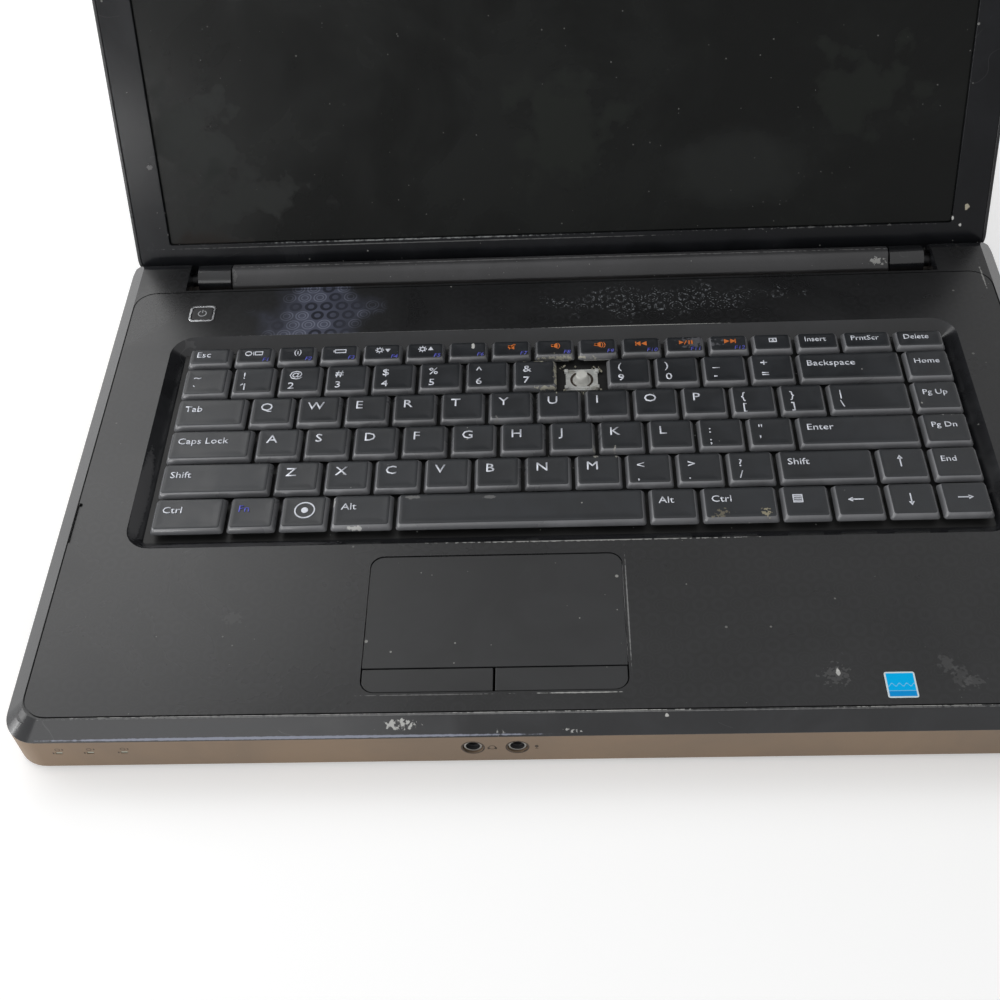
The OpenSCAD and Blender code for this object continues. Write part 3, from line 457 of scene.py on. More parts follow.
# The deck is a charcoal moulding with a clear gloss coat. A fine groove runs round its top
# panel, the border slopes down to the case, and small rings are printed under the gloss.
charcoal = colour(0.0125, 0.0128, 0.0135)
white_scrape = colour(0.62, 0.62, 0.6)
pale_scuff_and_highlight = colour(0.16, 0.16, 0.16)
front_crease_y = -159.65
deck_marks_and_highlights = [
    ((89.3, -146.1, 23), (0.7, 1.6, 1), 0.6, white_scrape, 0.95),
    ((88.3, -147.3, 23), (3.8, 3.2, 1), 2.6, pale_scuff_and_highlight, 0.25),
    ((125.4, -143.6, 23), (2.6, 3.0, 1), 1.9, pale_scuff_and_highlight, 0.2),
    ((129, -148.5, 23), (2.6, 4.0, 1), 2.0, pale_scuff_and_highlight, 0.16),
    ((132.6, -150.6, 23), (3.4, 2.0, 1), 2.1, pale_scuff_and_highlight, 0.2),
    # The long grey lines along the front crease, brighter at the left, are painted highlights on the edge.
    ((-60, front_crease_y, 23), (124, 0.22, 0.8), 0.4, colour(0.3, 0.3, 0.3), 0.8),
    ((110, front_crease_y, 23), (74, 0.18, 0.8), 1.0, pale_scuff_and_highlight, 0.7),
    # The grey line down the touchpad opening's right edge is a painted highlight.
    ((21.4, -119, 23), (0.25, 25, 0.6), 0.6, colour(0.3, 0.3, 0.3), 0.7),
    ((4, -152.5, 23), (15, 0.25, 0.6), 0.8, white_scrape, 0.6),
    ((-45, -152.5, 23), (22, 0.2, 0.6), 1.2, pale_scuff_and_highlight, 0.8),
    ((-116.4, -119.8, 23), (3.2, 2.7, 0.6), 1.2, pale_scuff_and_highlight, 0.14),
    ((-22, front_crease_y, 23), (14, 0.34, 0.8), 2.2, white_scrape, 0.7),
    ((17, front_crease_y, 23), (17, 0.42, 0.8), 1.6, white_scrape, 0.9),
    ((112, front_crease_y, 23), (20, 0.34, 0.8), 2.2, white_scrape, 0.6),
    ((-115, front_crease_y, 23), (40, 0.3, 0.8), 2.2, white_scrape, 0.4),
    ((12, -88.1, 23), (46, 0.35, 0.8), 1.6, white_scrape, 0.5),
    ((31, 25.7, 23), (41, 0.3, 0.8), 0.5, white_scrape, 0.75),
    ((-70, 25.7, 23), (60, 0.25, 0.8), 1.2, pale_scuff_and_highlight, 0.7),
    ((179.8, 50, 23), (0.35, 7, 0.8), 1.4, white_scrape, 0.5),
]
deck_plastic = moulded_plastic("deck_plastic", charcoal, 0.26, 0.32, grain=2300, depth=0.006 * mm,
                               clouds=16, cloud_rough=0.07, cloud_tone=0.18, dust=0.14,
                               dust_scale=260, dust_strength=0.35, scratches=0.3, marks=deck_marks_and_highlights)

# Under the gloss the maker printed small rings. At the left, where light catches the coat, they show as
# dark and double rings on a bluish sheen, which is a painted reflection: the rings are drawn only inside
# it. On the right they show as ring-shaped scuffs.
printed_rings, given, result = new_group(
    "printed_rings", [("Vector", "Vector", None), ("Pitch", "Float", 6.6 * mm)],
    [("Dark", "Float"), ("Light", "Float")])
axes = add_node(printed_rings, "ShaderNodeSeparateXYZ", {}, {0: given["Vector"]}).outputs
lane_pitch = calc(printed_rings, "MULTIPLY", given["Pitch"], 0.87)
lane = calc(printed_rings, "DIVIDE", axes[1], lane_pitch)
lane_number = calc(printed_rings, "FLOOR", lane)
stagger = calc(printed_rings, "MULTIPLY", calc(printed_rings, "FLOORED_MODULO", lane_number, 2.0), 0.5)
along = calc(printed_rings, "ADD", calc(printed_rings, "DIVIDE", axes[0], given["Pitch"]), stagger)
place_number = calc(printed_rings, "FLOOR", along)
off_x = calc(printed_rings, "SUBTRACT", calc(printed_rings, "SUBTRACT", along, place_number), 0.5)
off_y = calc(printed_rings, "SUBTRACT", calc(printed_rings, "SUBTRACT", lane, lane_number), 0.5)
off_y = calc(printed_rings, "MULTIPLY", off_y, 0.87)
off = add_node(printed_rings, "ShaderNodeCombineXYZ", {}, {0: off_x, 1: off_y}).outputs[0]
away = calc_vector(printed_rings, "LENGTH", off)
cell = add_node(printed_rings, "ShaderNodeCombineXYZ", {}, {0: place_number, 1: lane_number}).outputs[0]
chance = add_node(printed_rings, "ShaderNodeTexWhiteNoise", {"noise_dimensions": "3D"},
                  {0: cell}).outputs[0]


def ring_band(radius, half_width):
    """1 on a ring about the cell's centre, in shares of the pitch, with soft edges."""
    miss = calc(printed_rings, "ABSOLUTE", calc(printed_rings, "SUBTRACT", away, radius))
    return ramp(printed_rings, miss, half_width, half_width * 0.6)


is_thick = calc(printed_rings, "GREATER_THAN", chance, 0.48)
is_double = calc(printed_rings, "SUBTRACT", 1.0, is_thick)
double_ring = calc(printed_rings, "MAXIMUM", ring_band(0.4, 0.05), ring_band(0.22, 0.04))
printed_rings.links.new(calc(printed_rings, "MULTIPLY", ring_band(0.31, 0.13), is_thick), result.inputs[0])
printed_rings.links.new(calc(printed_rings, "MULTIPLY", double_ring, is_double), result.inputs[1])


def add_ring_print(material):
    """Lays the ring print, its sheen, which is a painted reflection, and its scuffs between a material's
    colour and its shader.
    """
    tree = material.node_tree
    shader = tree.nodes["Principled BSDF"]
    base = shader.inputs["Base Color"].links[0].from_socket
    where = place_on(tree)
    rings = add_node(tree, "ShaderNodeGroup", {"node_tree": printed_rings}, {"Vector": where}).outputs
    # The bluish sheen is a painted reflection; the dark and double rings are drawn only inside it.
    painted_sheen = use_group(tree, wear_and_highlight_patch, {
        "Vector": where, "Centre": (-103 * mm, 38 * mm, 23 * mm), "Half Size": (26 * mm, 34 * mm, 4 * mm),
        "Ragged": 0.7, "Break Up": 60, "Soft": 0.85})
    base = blend_colour(tree, calc(tree, "MULTIPLY", painted_sheen, 0.75), base, colour(0.105, 0.115, 0.165))
    base = blend_colour(tree, calc(tree, "MULTIPLY", calc(tree, "MULTIPLY", rings[0], painted_sheen), 0.9),
                        base, colour(0.012, 0.013, 0.02))
    base = blend_colour(tree, calc(tree, "MULTIPLY", calc(tree, "MULTIPLY", rings[1], painted_sheen), 0.55),
                        base, colour(0.26, 0.28, 0.36))
    scuffed = use_group(tree, wear_and_highlight_patch, {
        "Vector": where, "Centre": (46 * mm, 41 * mm, 23 * mm), "Half Size": (54 * mm, 9.5 * mm, 4 * mm),
        "Ragged": 1.3, "Break Up": 90, "Soft": 0.5})
    crumbly = ramp(tree, noise(tree, where, 1500, 2), 0.52, 0.62)
    ringed = calc(tree, "MAXIMUM", rings[0], rings[1])
    flecks = calc(tree, "MULTIPLY", calc(tree, "MULTIPLY", ringed, crumbly), scuffed)
    base = blend_colour(tree, calc(tree, "MULTIPLY", flecks, 0.6), base, colour(0.3, 0.32, 0.34))
    faint = calc(tree, "MULTIPLY", calc(tree, "ADD", rings[0], rings[1]), 0.055)
    base = blend_colour(tree, faint, base, colour(0.07, 0.07, 0.08))
    tree.links.new(base, shader.inputs["Base Color"])


add_ring_print(deck_plastic)

gloss_marks_and_reflections = [
    ((-55.5, -162.2, 21), (4.4, 1.3, 1.8), 2.4, white_scrape, 0.7),
    # The bluish line along the border's lower front edge is a painted highlight.
    ((-95, -165.0, 17.8), (93, 0.6, 0.5), 0.3, colour(0.3, 0.32, 0.4), 0.75),
    # The lighter patches on the well's left and front slopes are painted reflections.
    ((-160.5, -62, 21), (3, 26, 3), 0.3, colour(0.055, 0.055, 0.058), 0.8),
    ((-120, -86, 21), (40, 3, 3), 0.3, colour(0.035, 0.035, 0.038), 0.8),
    ((-22.6, -164.2, 19.5), (1.6, 0.6, 1.2), 2.0, white_scrape, 0.45),
    ((1.5, -164.6, 18.8), (2.2, 0.8, 0.7), 2.3, white_scrape, 0.6),
    ((32, -161, 21.8), (0.7, 0.7, 0.7), 0.7, white_scrape, 0.8),
    # The pale line along the front crease, on the border's side, is a painted highlight.
    ((0, front_crease_y - 0.25, 22.8), (182, 0.14, 0.5), 0.8, pale_scuff_and_highlight, 0.8),
]
gloss_border = moulded_plastic("gloss_border", colour(0.0125, 0.013, 0.0148), 0.15, 0.42, grain=600,
                               depth=0.002 * mm, clouds=30, cloud_rough=0.1, dust=0.1, dust_scale=300,
                               dust_strength=0.4, scratches=0.35, marks=gloss_marks_and_reflections)


def select_faces(piece, wanted):
    """Selects the faces whose centre and normal pass a test, and goes to edit mode."""
    pick(piece)
    bpy.ops.object.mode_set(mode="EDIT")
    bpy.ops.mesh.select_mode(type="FACE")
    bpy.ops.mesh.select_all(action="DESELECT")
    bpy.ops.object.mode_set(mode="OBJECT")
    for face in piece.data.polygons:
        face.select = wanted(face.center, face.normal)
    bpy.ops.object.mode_set(mode="EDIT")


def select_edges(piece, wanted):
    """Selects the edges whose two ends pass a test, and goes to edit mode."""
    pick(piece)
    bpy.ops.object.mode_set(mode="EDIT")
    bpy.ops.mesh.select_mode(type="EDGE")
    bpy.ops.mesh.select_all(action="DESELECT")
    bpy.ops.object.mode_set(mode="OBJECT")
    for edge in piece.data.edges:
        edge.select = wanted(*[piece.data.vertices[i].co for i in edge.vertices])
    bpy.ops.object.mode_set(mode="EDIT")


def leave_edit(piece):
    """Goes back to object mode, with one piece selected."""
    bpy.ops.object.mode_set(mode="OBJECT")
    pick(piece)


def set_place(piece):
    """Puts an object's place, turn and scale into its mesh."""
    pick(piece)
    bpy.ops.object.transform_apply(location=True, rotation=True, scale=True)


def add_block(x, y, z):
    """A block between two limits along each axis."""
    bpy.ops.mesh.primitive_cube_add(size=1, location=[(a[0] + a[1]) / 2 for a in (x, y, z)],
                                    scale=[a[1] - a[0] for a in (x, y, z)])
    block = bpy.context.object
    set_place(block)
    return block


def cut_out(piece, cutter):
    """Cuts one shape out of a piece and removes the cutter."""
    apply_modifier(piece, "BOOLEAN", operation="DIFFERENCE", object=cutter, solver="EXACT")
    pick(cutter)
    bpy.ops.object.delete()


deck = joined_copy("top_case", "deck")
apply_modifier(deck, "BEVEL", width=0.5 * mm, segments=3, limit_method="ANGLE",
               angle_limit=math.radians(28), use_clamp_overlap=True)

# A fine groove parts the deck's flat panel from its border, and a short slot lies in it at the left.
groove_x, groove_front, groove_rear = 183.15 * mm, -159.4 * mm, 54.6 * mm
groove_low, groove_corner, groove_width = 22.5 * mm, 9 * mm, 0.5 * mm
bpy.ops.mesh.primitive_plane_add(size=1, location=(0, (groove_front + groove_rear) / 2, groove_low))
groove = bpy.context.object
groove.scale = (2 * groove_x, groove_rear - groove_front, 1)
set_place(groove)
bpy.ops.object.mode_set(mode="EDIT")
bpy.ops.mesh.select_mode(type="VERT")
bpy.ops.mesh.select_all(action="SELECT")
bpy.ops.mesh.bevel(affect="VERTICES", offset=groove_corner, segments=8)
bpy.ops.mesh.select_mode(type="FACE")
bpy.ops.mesh.select_all(action="SELECT")
bpy.ops.mesh.inset(thickness=groove_width)
bpy.ops.mesh.delete(type="FACE")
bpy.ops.mesh.select_all(action="SELECT")
bpy.ops.mesh.extrude_region_move(TRANSFORM_OT_translate={"value": (0, 0, 2 * mm)})
bpy.ops.mesh.select_all(action="SELECT")
bpy.ops.mesh.normals_make_consistent(inside=False)
leave_edit(groove)
cut_out(deck, groove)
slot_x, slot_y, slot_z = (-182.9 * mm, -181.2 * mm), (-84.7 * mm, -65.4 * mm), (22 * mm, 24 * mm)
slot_cutter = add_block(slot_x, slot_y, slot_z)
select_edges(slot_cutter, lambda one, two: abs(one.z - two.z) > mm)
bpy.ops.mesh.bevel(offset=0.8 * mm, segments=4, affect="EDGES")
leave_edit(slot_cutter)
cut_out(deck, slot_cutter)
pick(deck)
bpy.ops.object.shade_smooth_by_angle(angle=math.radians(32))
apply_modifier(deck, "WEIGHTED_NORMAL", keep_sharp=True, weight=50)

# The border outside the groove and the slopes of the keyboard's well are bare gloss.
border_x, border_front, border_rear = 183.2 * mm, -159.5 * mm, 55 * mm
well_half, well_front, well_rear = 162.6 * mm, -88.5 * mm, 26.2 * mm
below_deck = 22.98 * mm
give_finish(deck, deck_plastic)
deck.data.materials.append(gloss_border)
for face in deck.data.polygons:
    spot = face.center
    on_border = abs(spot.x) > border_x or spot.y < border_front or spot.y > border_rear
    in_well = abs(spot.x) < well_half and well_front < spot.y < well_rear
    if on_border or (in_well and spot.z < below_deck):
        face.material_index = 1
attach(deck, body_of_node("top_case"))
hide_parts("top_case")

# The touchpad and the two click buttons are satin plates in one rounded opening of the deck. Each
# button goes down on its spring, and dust has settled on all three.
button_plastic = moulded_plastic("button_plastic", colour(0.015, 0.0155, 0.0165), 0.34, 0.36,
                                 grain=2600, depth=0.006 * mm, dust=0.3, dust_scale=230)
finish_node("touchpad", "touch_surface", button_plastic, 0.25)
finish_node("left_click_button", "left_button", button_plastic, 0.35, 3)
finish_node("right_click_button", "right_button", button_plastic, 0.35, 3)

# The power key is a small black square that goes down into the deck. It stands in a plated frame,
# whose plating has gone dull in places.
worn_chrome = bare_metal("worn_chrome", colour(0.6, 0.61, 0.63), 0.18)
finish_node("power_button_frame", "power_frame", worn_chrome, 0.35, 3)
finish_node("power_button", "power_key", black_plastic, 0.3, 3)

# A square paper sticker on the palm rest: a blue field with a pale border, a wavy line and a
# darker band. It says nothing.
label_rim, band_place = 0.55 * mm, 2.3 * mm
label_paper = moulded_plastic("label_paper", colour(0.002, 0.5, 1.0), 0.55, 0.05, cloud_tone=0.02, dust=0)
tree = label_paper.node_tree
label_low, label_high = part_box("colour_label")
middle = [(low + high) / 2 for low, high in zip(label_low, label_high)]
centred = calc_vector(tree, "SUBTRACT", place_on(tree), middle)
across, up = add_node(tree, "ShaderNodeSeparateXYZ", {}, {0: centred}).outputs[:2]
farthest = calc(tree, "MAXIMUM", calc(tree, "ABSOLUTE", across), calc(tree, "ABSOLUTE", up))
rim = calc(tree, "GREATER_THAN", farthest, (label_high[0] - label_low[0]) / 2 - label_rim)
lower_band = calc(tree, "LESS_THAN", up, -band_place)
swell = calc(tree, "MULTIPLY", calc(tree, "SINE", calc(tree, "MULTIPLY", across, 2600)), 0.55 * mm)
wave_line = calc(tree, "LESS_THAN", calc(tree, "ABSOLUTE", calc(tree, "ADD", up, swell)), 0.16 * mm)
band_line = calc(tree, "LESS_THAN", calc(tree, "ABSOLUTE", calc(tree, "ADD", up, band_place)), 0.12 * mm)
label_shader = tree.nodes["Principled BSDF"]
print_colour = label_shader.inputs["Base Color"].links[0].from_socket
print_colour = blend_colour(tree, calc(tree, "MULTIPLY", lower_band, 0.6), print_colour,
                            colour(0.01, 0.2, 0.62))
lines = calc(tree, "MULTIPLY", calc(tree, "MAXIMUM", wave_line, band_line), 0.5)
print_colour = blend_colour(tree, lines, print_colour, colour(0.5, 0.78, 0.95))
print_colour = blend_colour(tree, rim, print_colour, colour(0.72, 0.82, 0.86))
tree.links.new(print_colour, label_shader.inputs["Base Color"])
finish_node("colour_label", "blue_sticker", label_paper, 0.02)

# The lid is a glossy black shell with a bezel clipped in front. Its surfaces are scratched, and
# the thin lip round the screen is worn pale in places. Pale lines along the lip's lower edges are
# painted highlights.
lid_turn = math.radians(90 - 20.2)
axis_y, axis_z = 70.5, 16


def on_lid(across, up, out):
    """A place on the open lid, in millimetres: across, up the screen from the hinge, and outwards."""
    return (across, axis_y + up * math.cos(lid_turn) - out * math.sin(lid_turn),
            axis_z + up * math.sin(lid_turn) + out * math.cos(lid_turn))


lid_plastic = moulded_plastic("lid_plastic", colour(0.012, 0.0125, 0.014), 0.2, 0.3, dust=0.15,
                              dust_strength=0.4, scratches=0.45)
finish_node("lid_cover", "lid_shell", lid_plastic, 0.5, 3)
bezel_marks_and_highlights = [
    (on_lid(172.6, 16.1, -8), (0.8, 1, 1), 0.8, white_scrape, 0.95),
    (on_lid(176.5, 12.9, -8), (0.7, 0.8, 0.8), 0.8, white_scrape, 0.9),
    (on_lid(178.4, 21, -8), (0.9, 1, 1.4), 1.0, colour(0.5, 0.46, 0.36), 0.9),
    (on_lid(-176, 49.4, -8), (1.1, 1, 1.6), 1.4, pale_scuff_and_highlight, 0.9),
    # Two long pale lines along the lip's lower edges, brighter at the left, are painted highlights.
    (on_lid(-60, 13.7, -8.3), (114, 0.35, 0.45), 0.4, colour(0.3, 0.31, 0.31), 0.85),
    (on_lid(-60, 12.3, -8), (116, 0.3, 0.25), 0.5, pale_scuff_and_highlight, 0.7),
    (on_lid(110, 13.7, -8.3), (60, 0.35, 0.4), 1.0, pale_scuff_and_highlight, 0.7),
    (on_lid(150, 2.4, -8), (14, 1.5, 0.8), 2.3, pale_scuff_and_highlight, 0.5),
]
bezel_plastic = moulded_plastic("bezel_plastic", colour(0.0085, 0.009, 0.0105), 0.16, 0.13, dust=0.3,
                                dust_scale=260, dust_strength=0.45, scratches=0.4, marks=bezel_marks_and_highlights)
finish_node("lid_bezel", "bezel", bezel_plastic, 0.35, 3)

# The screen is a dull dark panel, dead and switched off. It is smeared: round blots at the left. A
# pale patch at the right is a painted reflection.
smear_and_reflection = colour(0.024, 0.026, 0.025)
screen_smears_and_reflection = [
    (on_lid(-158, 62, -9.5), (24, 10, 26), 1.5, smear_and_reflection, 0.9),
    (on_lid(-132, 34, -9.5), (24, 7, 18), 1.7, smear_and_reflection, 0.6),
    (on_lid(-150, 12, -9.5), (26, 5, 10), 1.2, colour(0.018, 0.014, 0.012), 0.7),
    # A pale soft patch at the right is a painted reflection.
    (on_lid(78, 40, -9.5), (38, 10, 24), 0.3, smear_and_reflection, 0.5),
    (on_lid(5, 60, -9.5), (22, 12, 34), 1.6, colour(0.013, 0.015, 0.013), 0.8),
    (on_lid(130, 70, -9.5), (26, 12, 20), 1.8, colour(0.013, 0.015, 0.013), 0.7),
]
screen_glass = moulded_plastic("screen_glass", colour(0.0032, 0.0037, 0.0034), 0.2, 0.13, clouds=18,
                               cloud_rough=0.1, cloud_tone=0.4, dust=0.2, dust_scale=420,
                               dust_strength=0.3, marks=screen_smears_and_reflection, mark_scale=75, mark_soft=0.6)
finish_node("display_panel", "screen", screen_glass, 0.2)

# The hinge bar is matt and speckled, with pale worn dots along both edges of its flat. The end
# knuckles are glossy, and their pins are steel.
bar_marks = [
    ((0, 65, 19.6), (143, 0.38, 0.38), 1.7, colour(0.22, 0.22, 0.22), 0.8),
    ((0, 71.3, 22.5), (143, 0.34, 0.34), 1.7, colour(0.22, 0.22, 0.22), 0.8),
    ((-142.4, 67, 20.6), (0.8, 3, 3), 2.0, pale_scuff_and_highlight, 0.8),
    ((139, 66.2, 20), (3, 1.2, 1.2), 2.3, white_scrape, 0.6),
]
bar_plastic = moulded_plastic("bar_plastic", colour(0.04, 0.04, 0.042), 0.42, 0.4, grain=1500,
                              depth=0.03 * mm, dust=0.4, dust_scale=500, dust_strength=0.4, marks=bar_marks)
finish_node("hinge_bar", "hinge_cover_bar", bar_plastic, 0.4, 3)
cap_plastic = moulded_plastic("cap_plastic", colour(0.010, 0.0105, 0.012), 0.1, 0.5, scratches=0.4)
finish_node("hinge_caps", "hinge_knuckles", cap_plastic, 0.5, 3)
finish_node("lid_bumpers", "bumper_pads", black_rubber, 0.2)

# The keyboard's bed: a nearly black steel plate, which is painted shade in the gaps between the caps,
# milky rubber domes, and white scissor frames that hold the caps. One cap is lost, so its frame shows: a
# white square with lugs, slots and a dome.
# The plate's near black is painted shade, for the shade in the gaps under and between the caps.
plate_dark_as_painted_shade = moulded_plastic("plate_dark_as_painted_shade", colour(0.008, 0.008, 0.008), 0.5, 0.3, dust=0.5,
                                dust_scale=330)
give_finish(frame["nodes"]["keyboard_plate"], plate_dark_as_painted_shade)
white_plastic = moulded_plastic(
    "white_plastic", colour(0.66, 0.67, 0.65), 0.45, clouds=160, cloud_tone=-0.16, dust=0.25,
    marks=[((14, -6.6, 19), (3, 1.4, 1), 1.8, colour(0.3, 0.29, 0.25), 0.6),
           ((4.4, 2.6, 19), (2.4, 1.2, 1), 1.8, colour(0.3, 0.29, 0.25), 0.6)])
give_finish(frame["nodes"]["scissor_frames"], white_plastic)


def joined(pieces, name):
    """Several pieces made into one."""
    bpy.ops.object.select_all(action="DESELECT")
    for piece in pieces:
        piece.select_set(True)
    bpy.context.view_layer.objects.active = pieces[0]
    if len(pieces) > 1:
        bpy.ops.object.join()
    pieces[0].name = name
    pieces[0].data.name = name
    return pieces[0]


# What shows of the lost key's frame: four corner lugs, two small rails at each end, and the dome's
# own flat-topped cup with its slanted facets.
lost_x = 8.85 * mm
lost_y = -1.7 * mm
frame_top = 19.2 * mm
lugs = []
for side in (-1, 1):
    for end in (-1, 1):
        lug_x = lost_x + side * 6.2 * mm
        lug_y = lost_y + end * 4.6 * mm
        lug = add_block((lug_x - 0.8 * mm, lug_x + 0.8 * mm), (lug_y - 0.9 * mm, lug_y + 0.9 * mm),
                        (frame_top - 0.5 * mm, frame_top + 0.9 * mm))
        apply_modifier(lug, "BEVEL", width=0.25 * mm, segments=2)
        lugs.append(lug)
for end in (-1, 1):
    for rail in (0, 1):
        rail_y = lost_y + end * (5.0 - 0.9 * rail) * mm
        rail_half = (5.2 - 2.2 * rail) * mm
        bar = add_block((lost_x - rail_half, lost_x + rail_half), (rail_y - 0.15 * mm, rail_y + 0.15 * mm),
                        (frame_top - 0.2 * mm, frame_top + 0.25 * mm))
        apply_modifier(bar, "BEVEL", width=0.1 * mm, segments=2)
        lugs.append(bar)
lost_lugs = joined(lugs, "lost_key_lugs")
bpy.ops.object.shade_smooth_by_angle(angle=math.radians(35))
give_finish(lost_lugs, white_plastic)
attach(lost_lugs, "base")

bpy.ops.mesh.primitive_cylinder_add(vertices=5, radius=2.9 * mm, depth=1.2 * mm,
                                    location=(lost_x, lost_y, frame_top + 0.75 * mm))
cup = bpy.context.object
cup.name = "lost_key_dome_cup"
set_place(cup)
select_faces(cup, lambda centre, normal: normal.z > 0.9)
bpy.ops.transform.resize(value=(0.72, 0.72, 1))
leave_edit(cup)
apply_modifier(cup, "BEVEL", width=0.45 * mm, segments=3)
bpy.ops.object.shade_smooth_by_angle(angle=math.radians(35))
give_finish(cup, silicone)
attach(cup, "base")

# Each key cap is a hollow moulding in satin black, with sloping sides that catch the light and a
# slightly dished top. The sides are a lighter grey than the top: a painted highlight. One cap is modelled
# for each size, and every key is a copy of it.
key_pitch = 19.05 * mm
row_pitch = 17.6 * mm
first_key_x = -7 * key_pitch
first_row_y = -80.15 * mm
cap_gap = 1.35 * mm
cap_depth = 16.1 * mm
fn_cap_depth = 10.4 * mm
cap_low, cap_waist, cap_top = 21.0 * mm, 21.5 * mm, 23.6 * mm
cap_slope_x, cap_slope_y = 1.15 * mm, 1.0 * mm
residue_colour = colour(0.5, 0.48, 0.37)
key_marks = [
    ((-1.7, -2.5, 22.8), (0.7, 7, 1.6), 2.3, residue_colour, 0.9),
    ((-5, -9.2, 22.4), (3.6, 0.5, 1.2), 2.6, residue_colour, 0.6),
    ((-7, 5.4, 23), (7, 0.4, 1.2), 2.6, residue_colour, 0.7),
    ((3.5, 8.1, 22.2), (8, 0.5, 1.0), 2.8, residue_colour, 0.6),
    ((27, 6.1, 23), (4.5, 0.5, 1.2), 1.8, colour(0.42, 0.4, 0.25), 0.9),
    ((18.8, 18.1, 23), (2.0, 0.55, 1.2), 0.8, colour(0.6, 0.6, 0.52), 0.9),
    ((-35.4, 15.2, 23.3), (0.75, 1.8, 1.2), 0.8, white_scrape, 1.0),
    ((-25.4, -27.4, 22.8), (0.7, 2.4, 1.6), 1.8, pale_scuff_and_highlight, 0.9),
    ((12.6, -45.5, 23), (0.8, 3.2, 1.4), 2.0, colour(0.34, 0.33, 0.3), 0.8),
    ((20.4, -45.4, 23), (0.8, 2.2, 1.4), 2.0, colour(0.34, 0.33, 0.3), 0.8),
    ((-85.6, -67.4, 23), (0.5, 2.4, 1.4), 1.8, white_scrape, 0.8),
    ((-77, -79.9, 22.4), (3.4, 0.6, 1.2), 1.6, white_scrape, 0.8),
    ((-56, -66.4, 23.4), (2.5, 0.7, 1), 1.9, pale_scuff_and_highlight, 0.9),
    ((-27, -66.8, 23.4), (2.2, 0.6, 1), 1.9, pale_scuff_and_highlight, 0.8),
    ((57.5, -77.5, 23), (2.6, 1.8, 1.4), 2.4, colour(0.2, 0.18, 0.13), 0.7),
    ((74, -76.6, 23), (1.4, 1.8, 1.4), 2.4, colour(0.42, 0.38, 0.26), 0.7),
    ((57.5, 14, 23.4), (6, 3, 1), 2.8, colour(0.2, 0.2, 0.22), 0.4),
]
key_plastic = moulded_plastic("key_plastic", colour(0.0115, 0.0132, 0.016), 0.36, 0.42, grain=2600,
                              depth=0.005 * mm, clouds=60, cloud_rough=0.08, cloud_tone=0.16,
                              dust=0.07, dust_scale=300, marks=key_marks)
# The cap sides' lighter grey is a painted highlight, for the light that the slopes catch.
key_side_painted_highlight = moulded_plastic("key_side_painted_highlight", colour(0.12, 0.122, 0.129), 0.26, 0.6,
                                   grain=2600, depth=0.004 * mm, dust=0.1, dust_scale=400, marks=key_marks)


def model_cap(width, depth):
    """One cap, centred on x and y, at its height."""
    cap = add_block((-width / 2, width / 2), (-depth / 2, depth / 2), (cap_low, cap_waist))
    select_faces(cap, lambda centre, normal: normal.z > 0.9)
    bpy.ops.mesh.extrude_region_move(TRANSFORM_OT_translate={"value": (0, 0, cap_top - cap_waist)})
    bpy.ops.transform.resize(value=(1 - 2 * cap_slope_x / width, 1 - 2 * cap_slope_y / depth, 1))
    leave_edit(cap)
    select_edges(cap, lambda one, two: abs(one.z - two.z) > 0.1 * mm)
    bpy.ops.mesh.bevel(offset=1.0 * mm, segments=3, affect="EDGES")
    leave_edit(cap)
    select_edges(cap, lambda one, two: min(one.z, two.z) > cap_top - 0.01 * mm)
    bpy.ops.mesh.bevel(offset=0.4 * mm, segments=2, affect="EDGES")
    leave_edit(cap)
    select_faces(cap, lambda centre, normal: normal.z > 0.99 and centre.z > cap_top - 0.01 * mm)
    bpy.ops.mesh.inset(thickness=0.3 * mm)
    bpy.ops.transform.resize(value=(1 - 1.6 * mm / width, 1 - 1.6 * mm / depth, 1))
    bpy.ops.transform.translate(value=(0, 0, -0.07 * mm))
    bpy.ops.mesh.inset(thickness=0.05 * mm)
    bpy.ops.transform.resize(value=(1 - 5 * mm / width, 1 - 5 * mm / depth, 1))
    bpy.ops.transform.translate(value=(0, 0, -0.1 * mm))
    leave_edit(cap)
    select_faces(cap, lambda centre, normal: normal.z < -0.9)
    bpy.ops.mesh.inset(thickness=1.1 * mm)
    bpy.ops.mesh.extrude_region_move(TRANSFORM_OT_translate={"value": (0, 0, 1.4 * mm)})
    leave_edit(cap)
    bpy.ops.object.shade_smooth_by_angle(angle=math.radians(38))
    give_finish(cap, key_plastic)
    cap.data.materials.append(key_side_painted_highlight)
    for face in cap.data.polygons:
        face.material_index = 0 if face.normal.z > 0.8 else 1
    return cap


cap_models = {}
caps_of = {}


def key_x(unit):
    """The left side of a place in a row, counted in key pitches."""
    return first_key_x + unit * key_pitch


def row_y(row):
    """The front edge of a row's caps, counted from the bottom row."""
    return first_row_y + row * row_pitch


def add_cap(node, row, start, end, depth=cap_depth):
    """One key cap between two places of a row, counted in key pitches; returns its left front corner."""
    left = key_x(start)
    width = key_x(end) - cap_gap - left
    size = (round(width / mm, 2), round(depth / mm, 2))
    if size not in cap_models:
        cap_models[size] = model_cap(width, depth)
    pick(cap_models[size])
    bpy.ops.object.duplicate()
    cap = bpy.context.object
    cap.location = (left + width / 2, row_y(row) + depth / 2, 0)
    caps_of.setdefault(node, []).append(cap)
    return left, row_y(row)


# The legends are printed on the caps in white, and in violet and orange for the second functions.
# Each is a thin layer of ink, cut from letters or small flat shapes, and rides on its own key.
ink_low, ink_thick = 23.4 * mm, 0.24 * mm
capital_share = 0.69
prints_of = {}


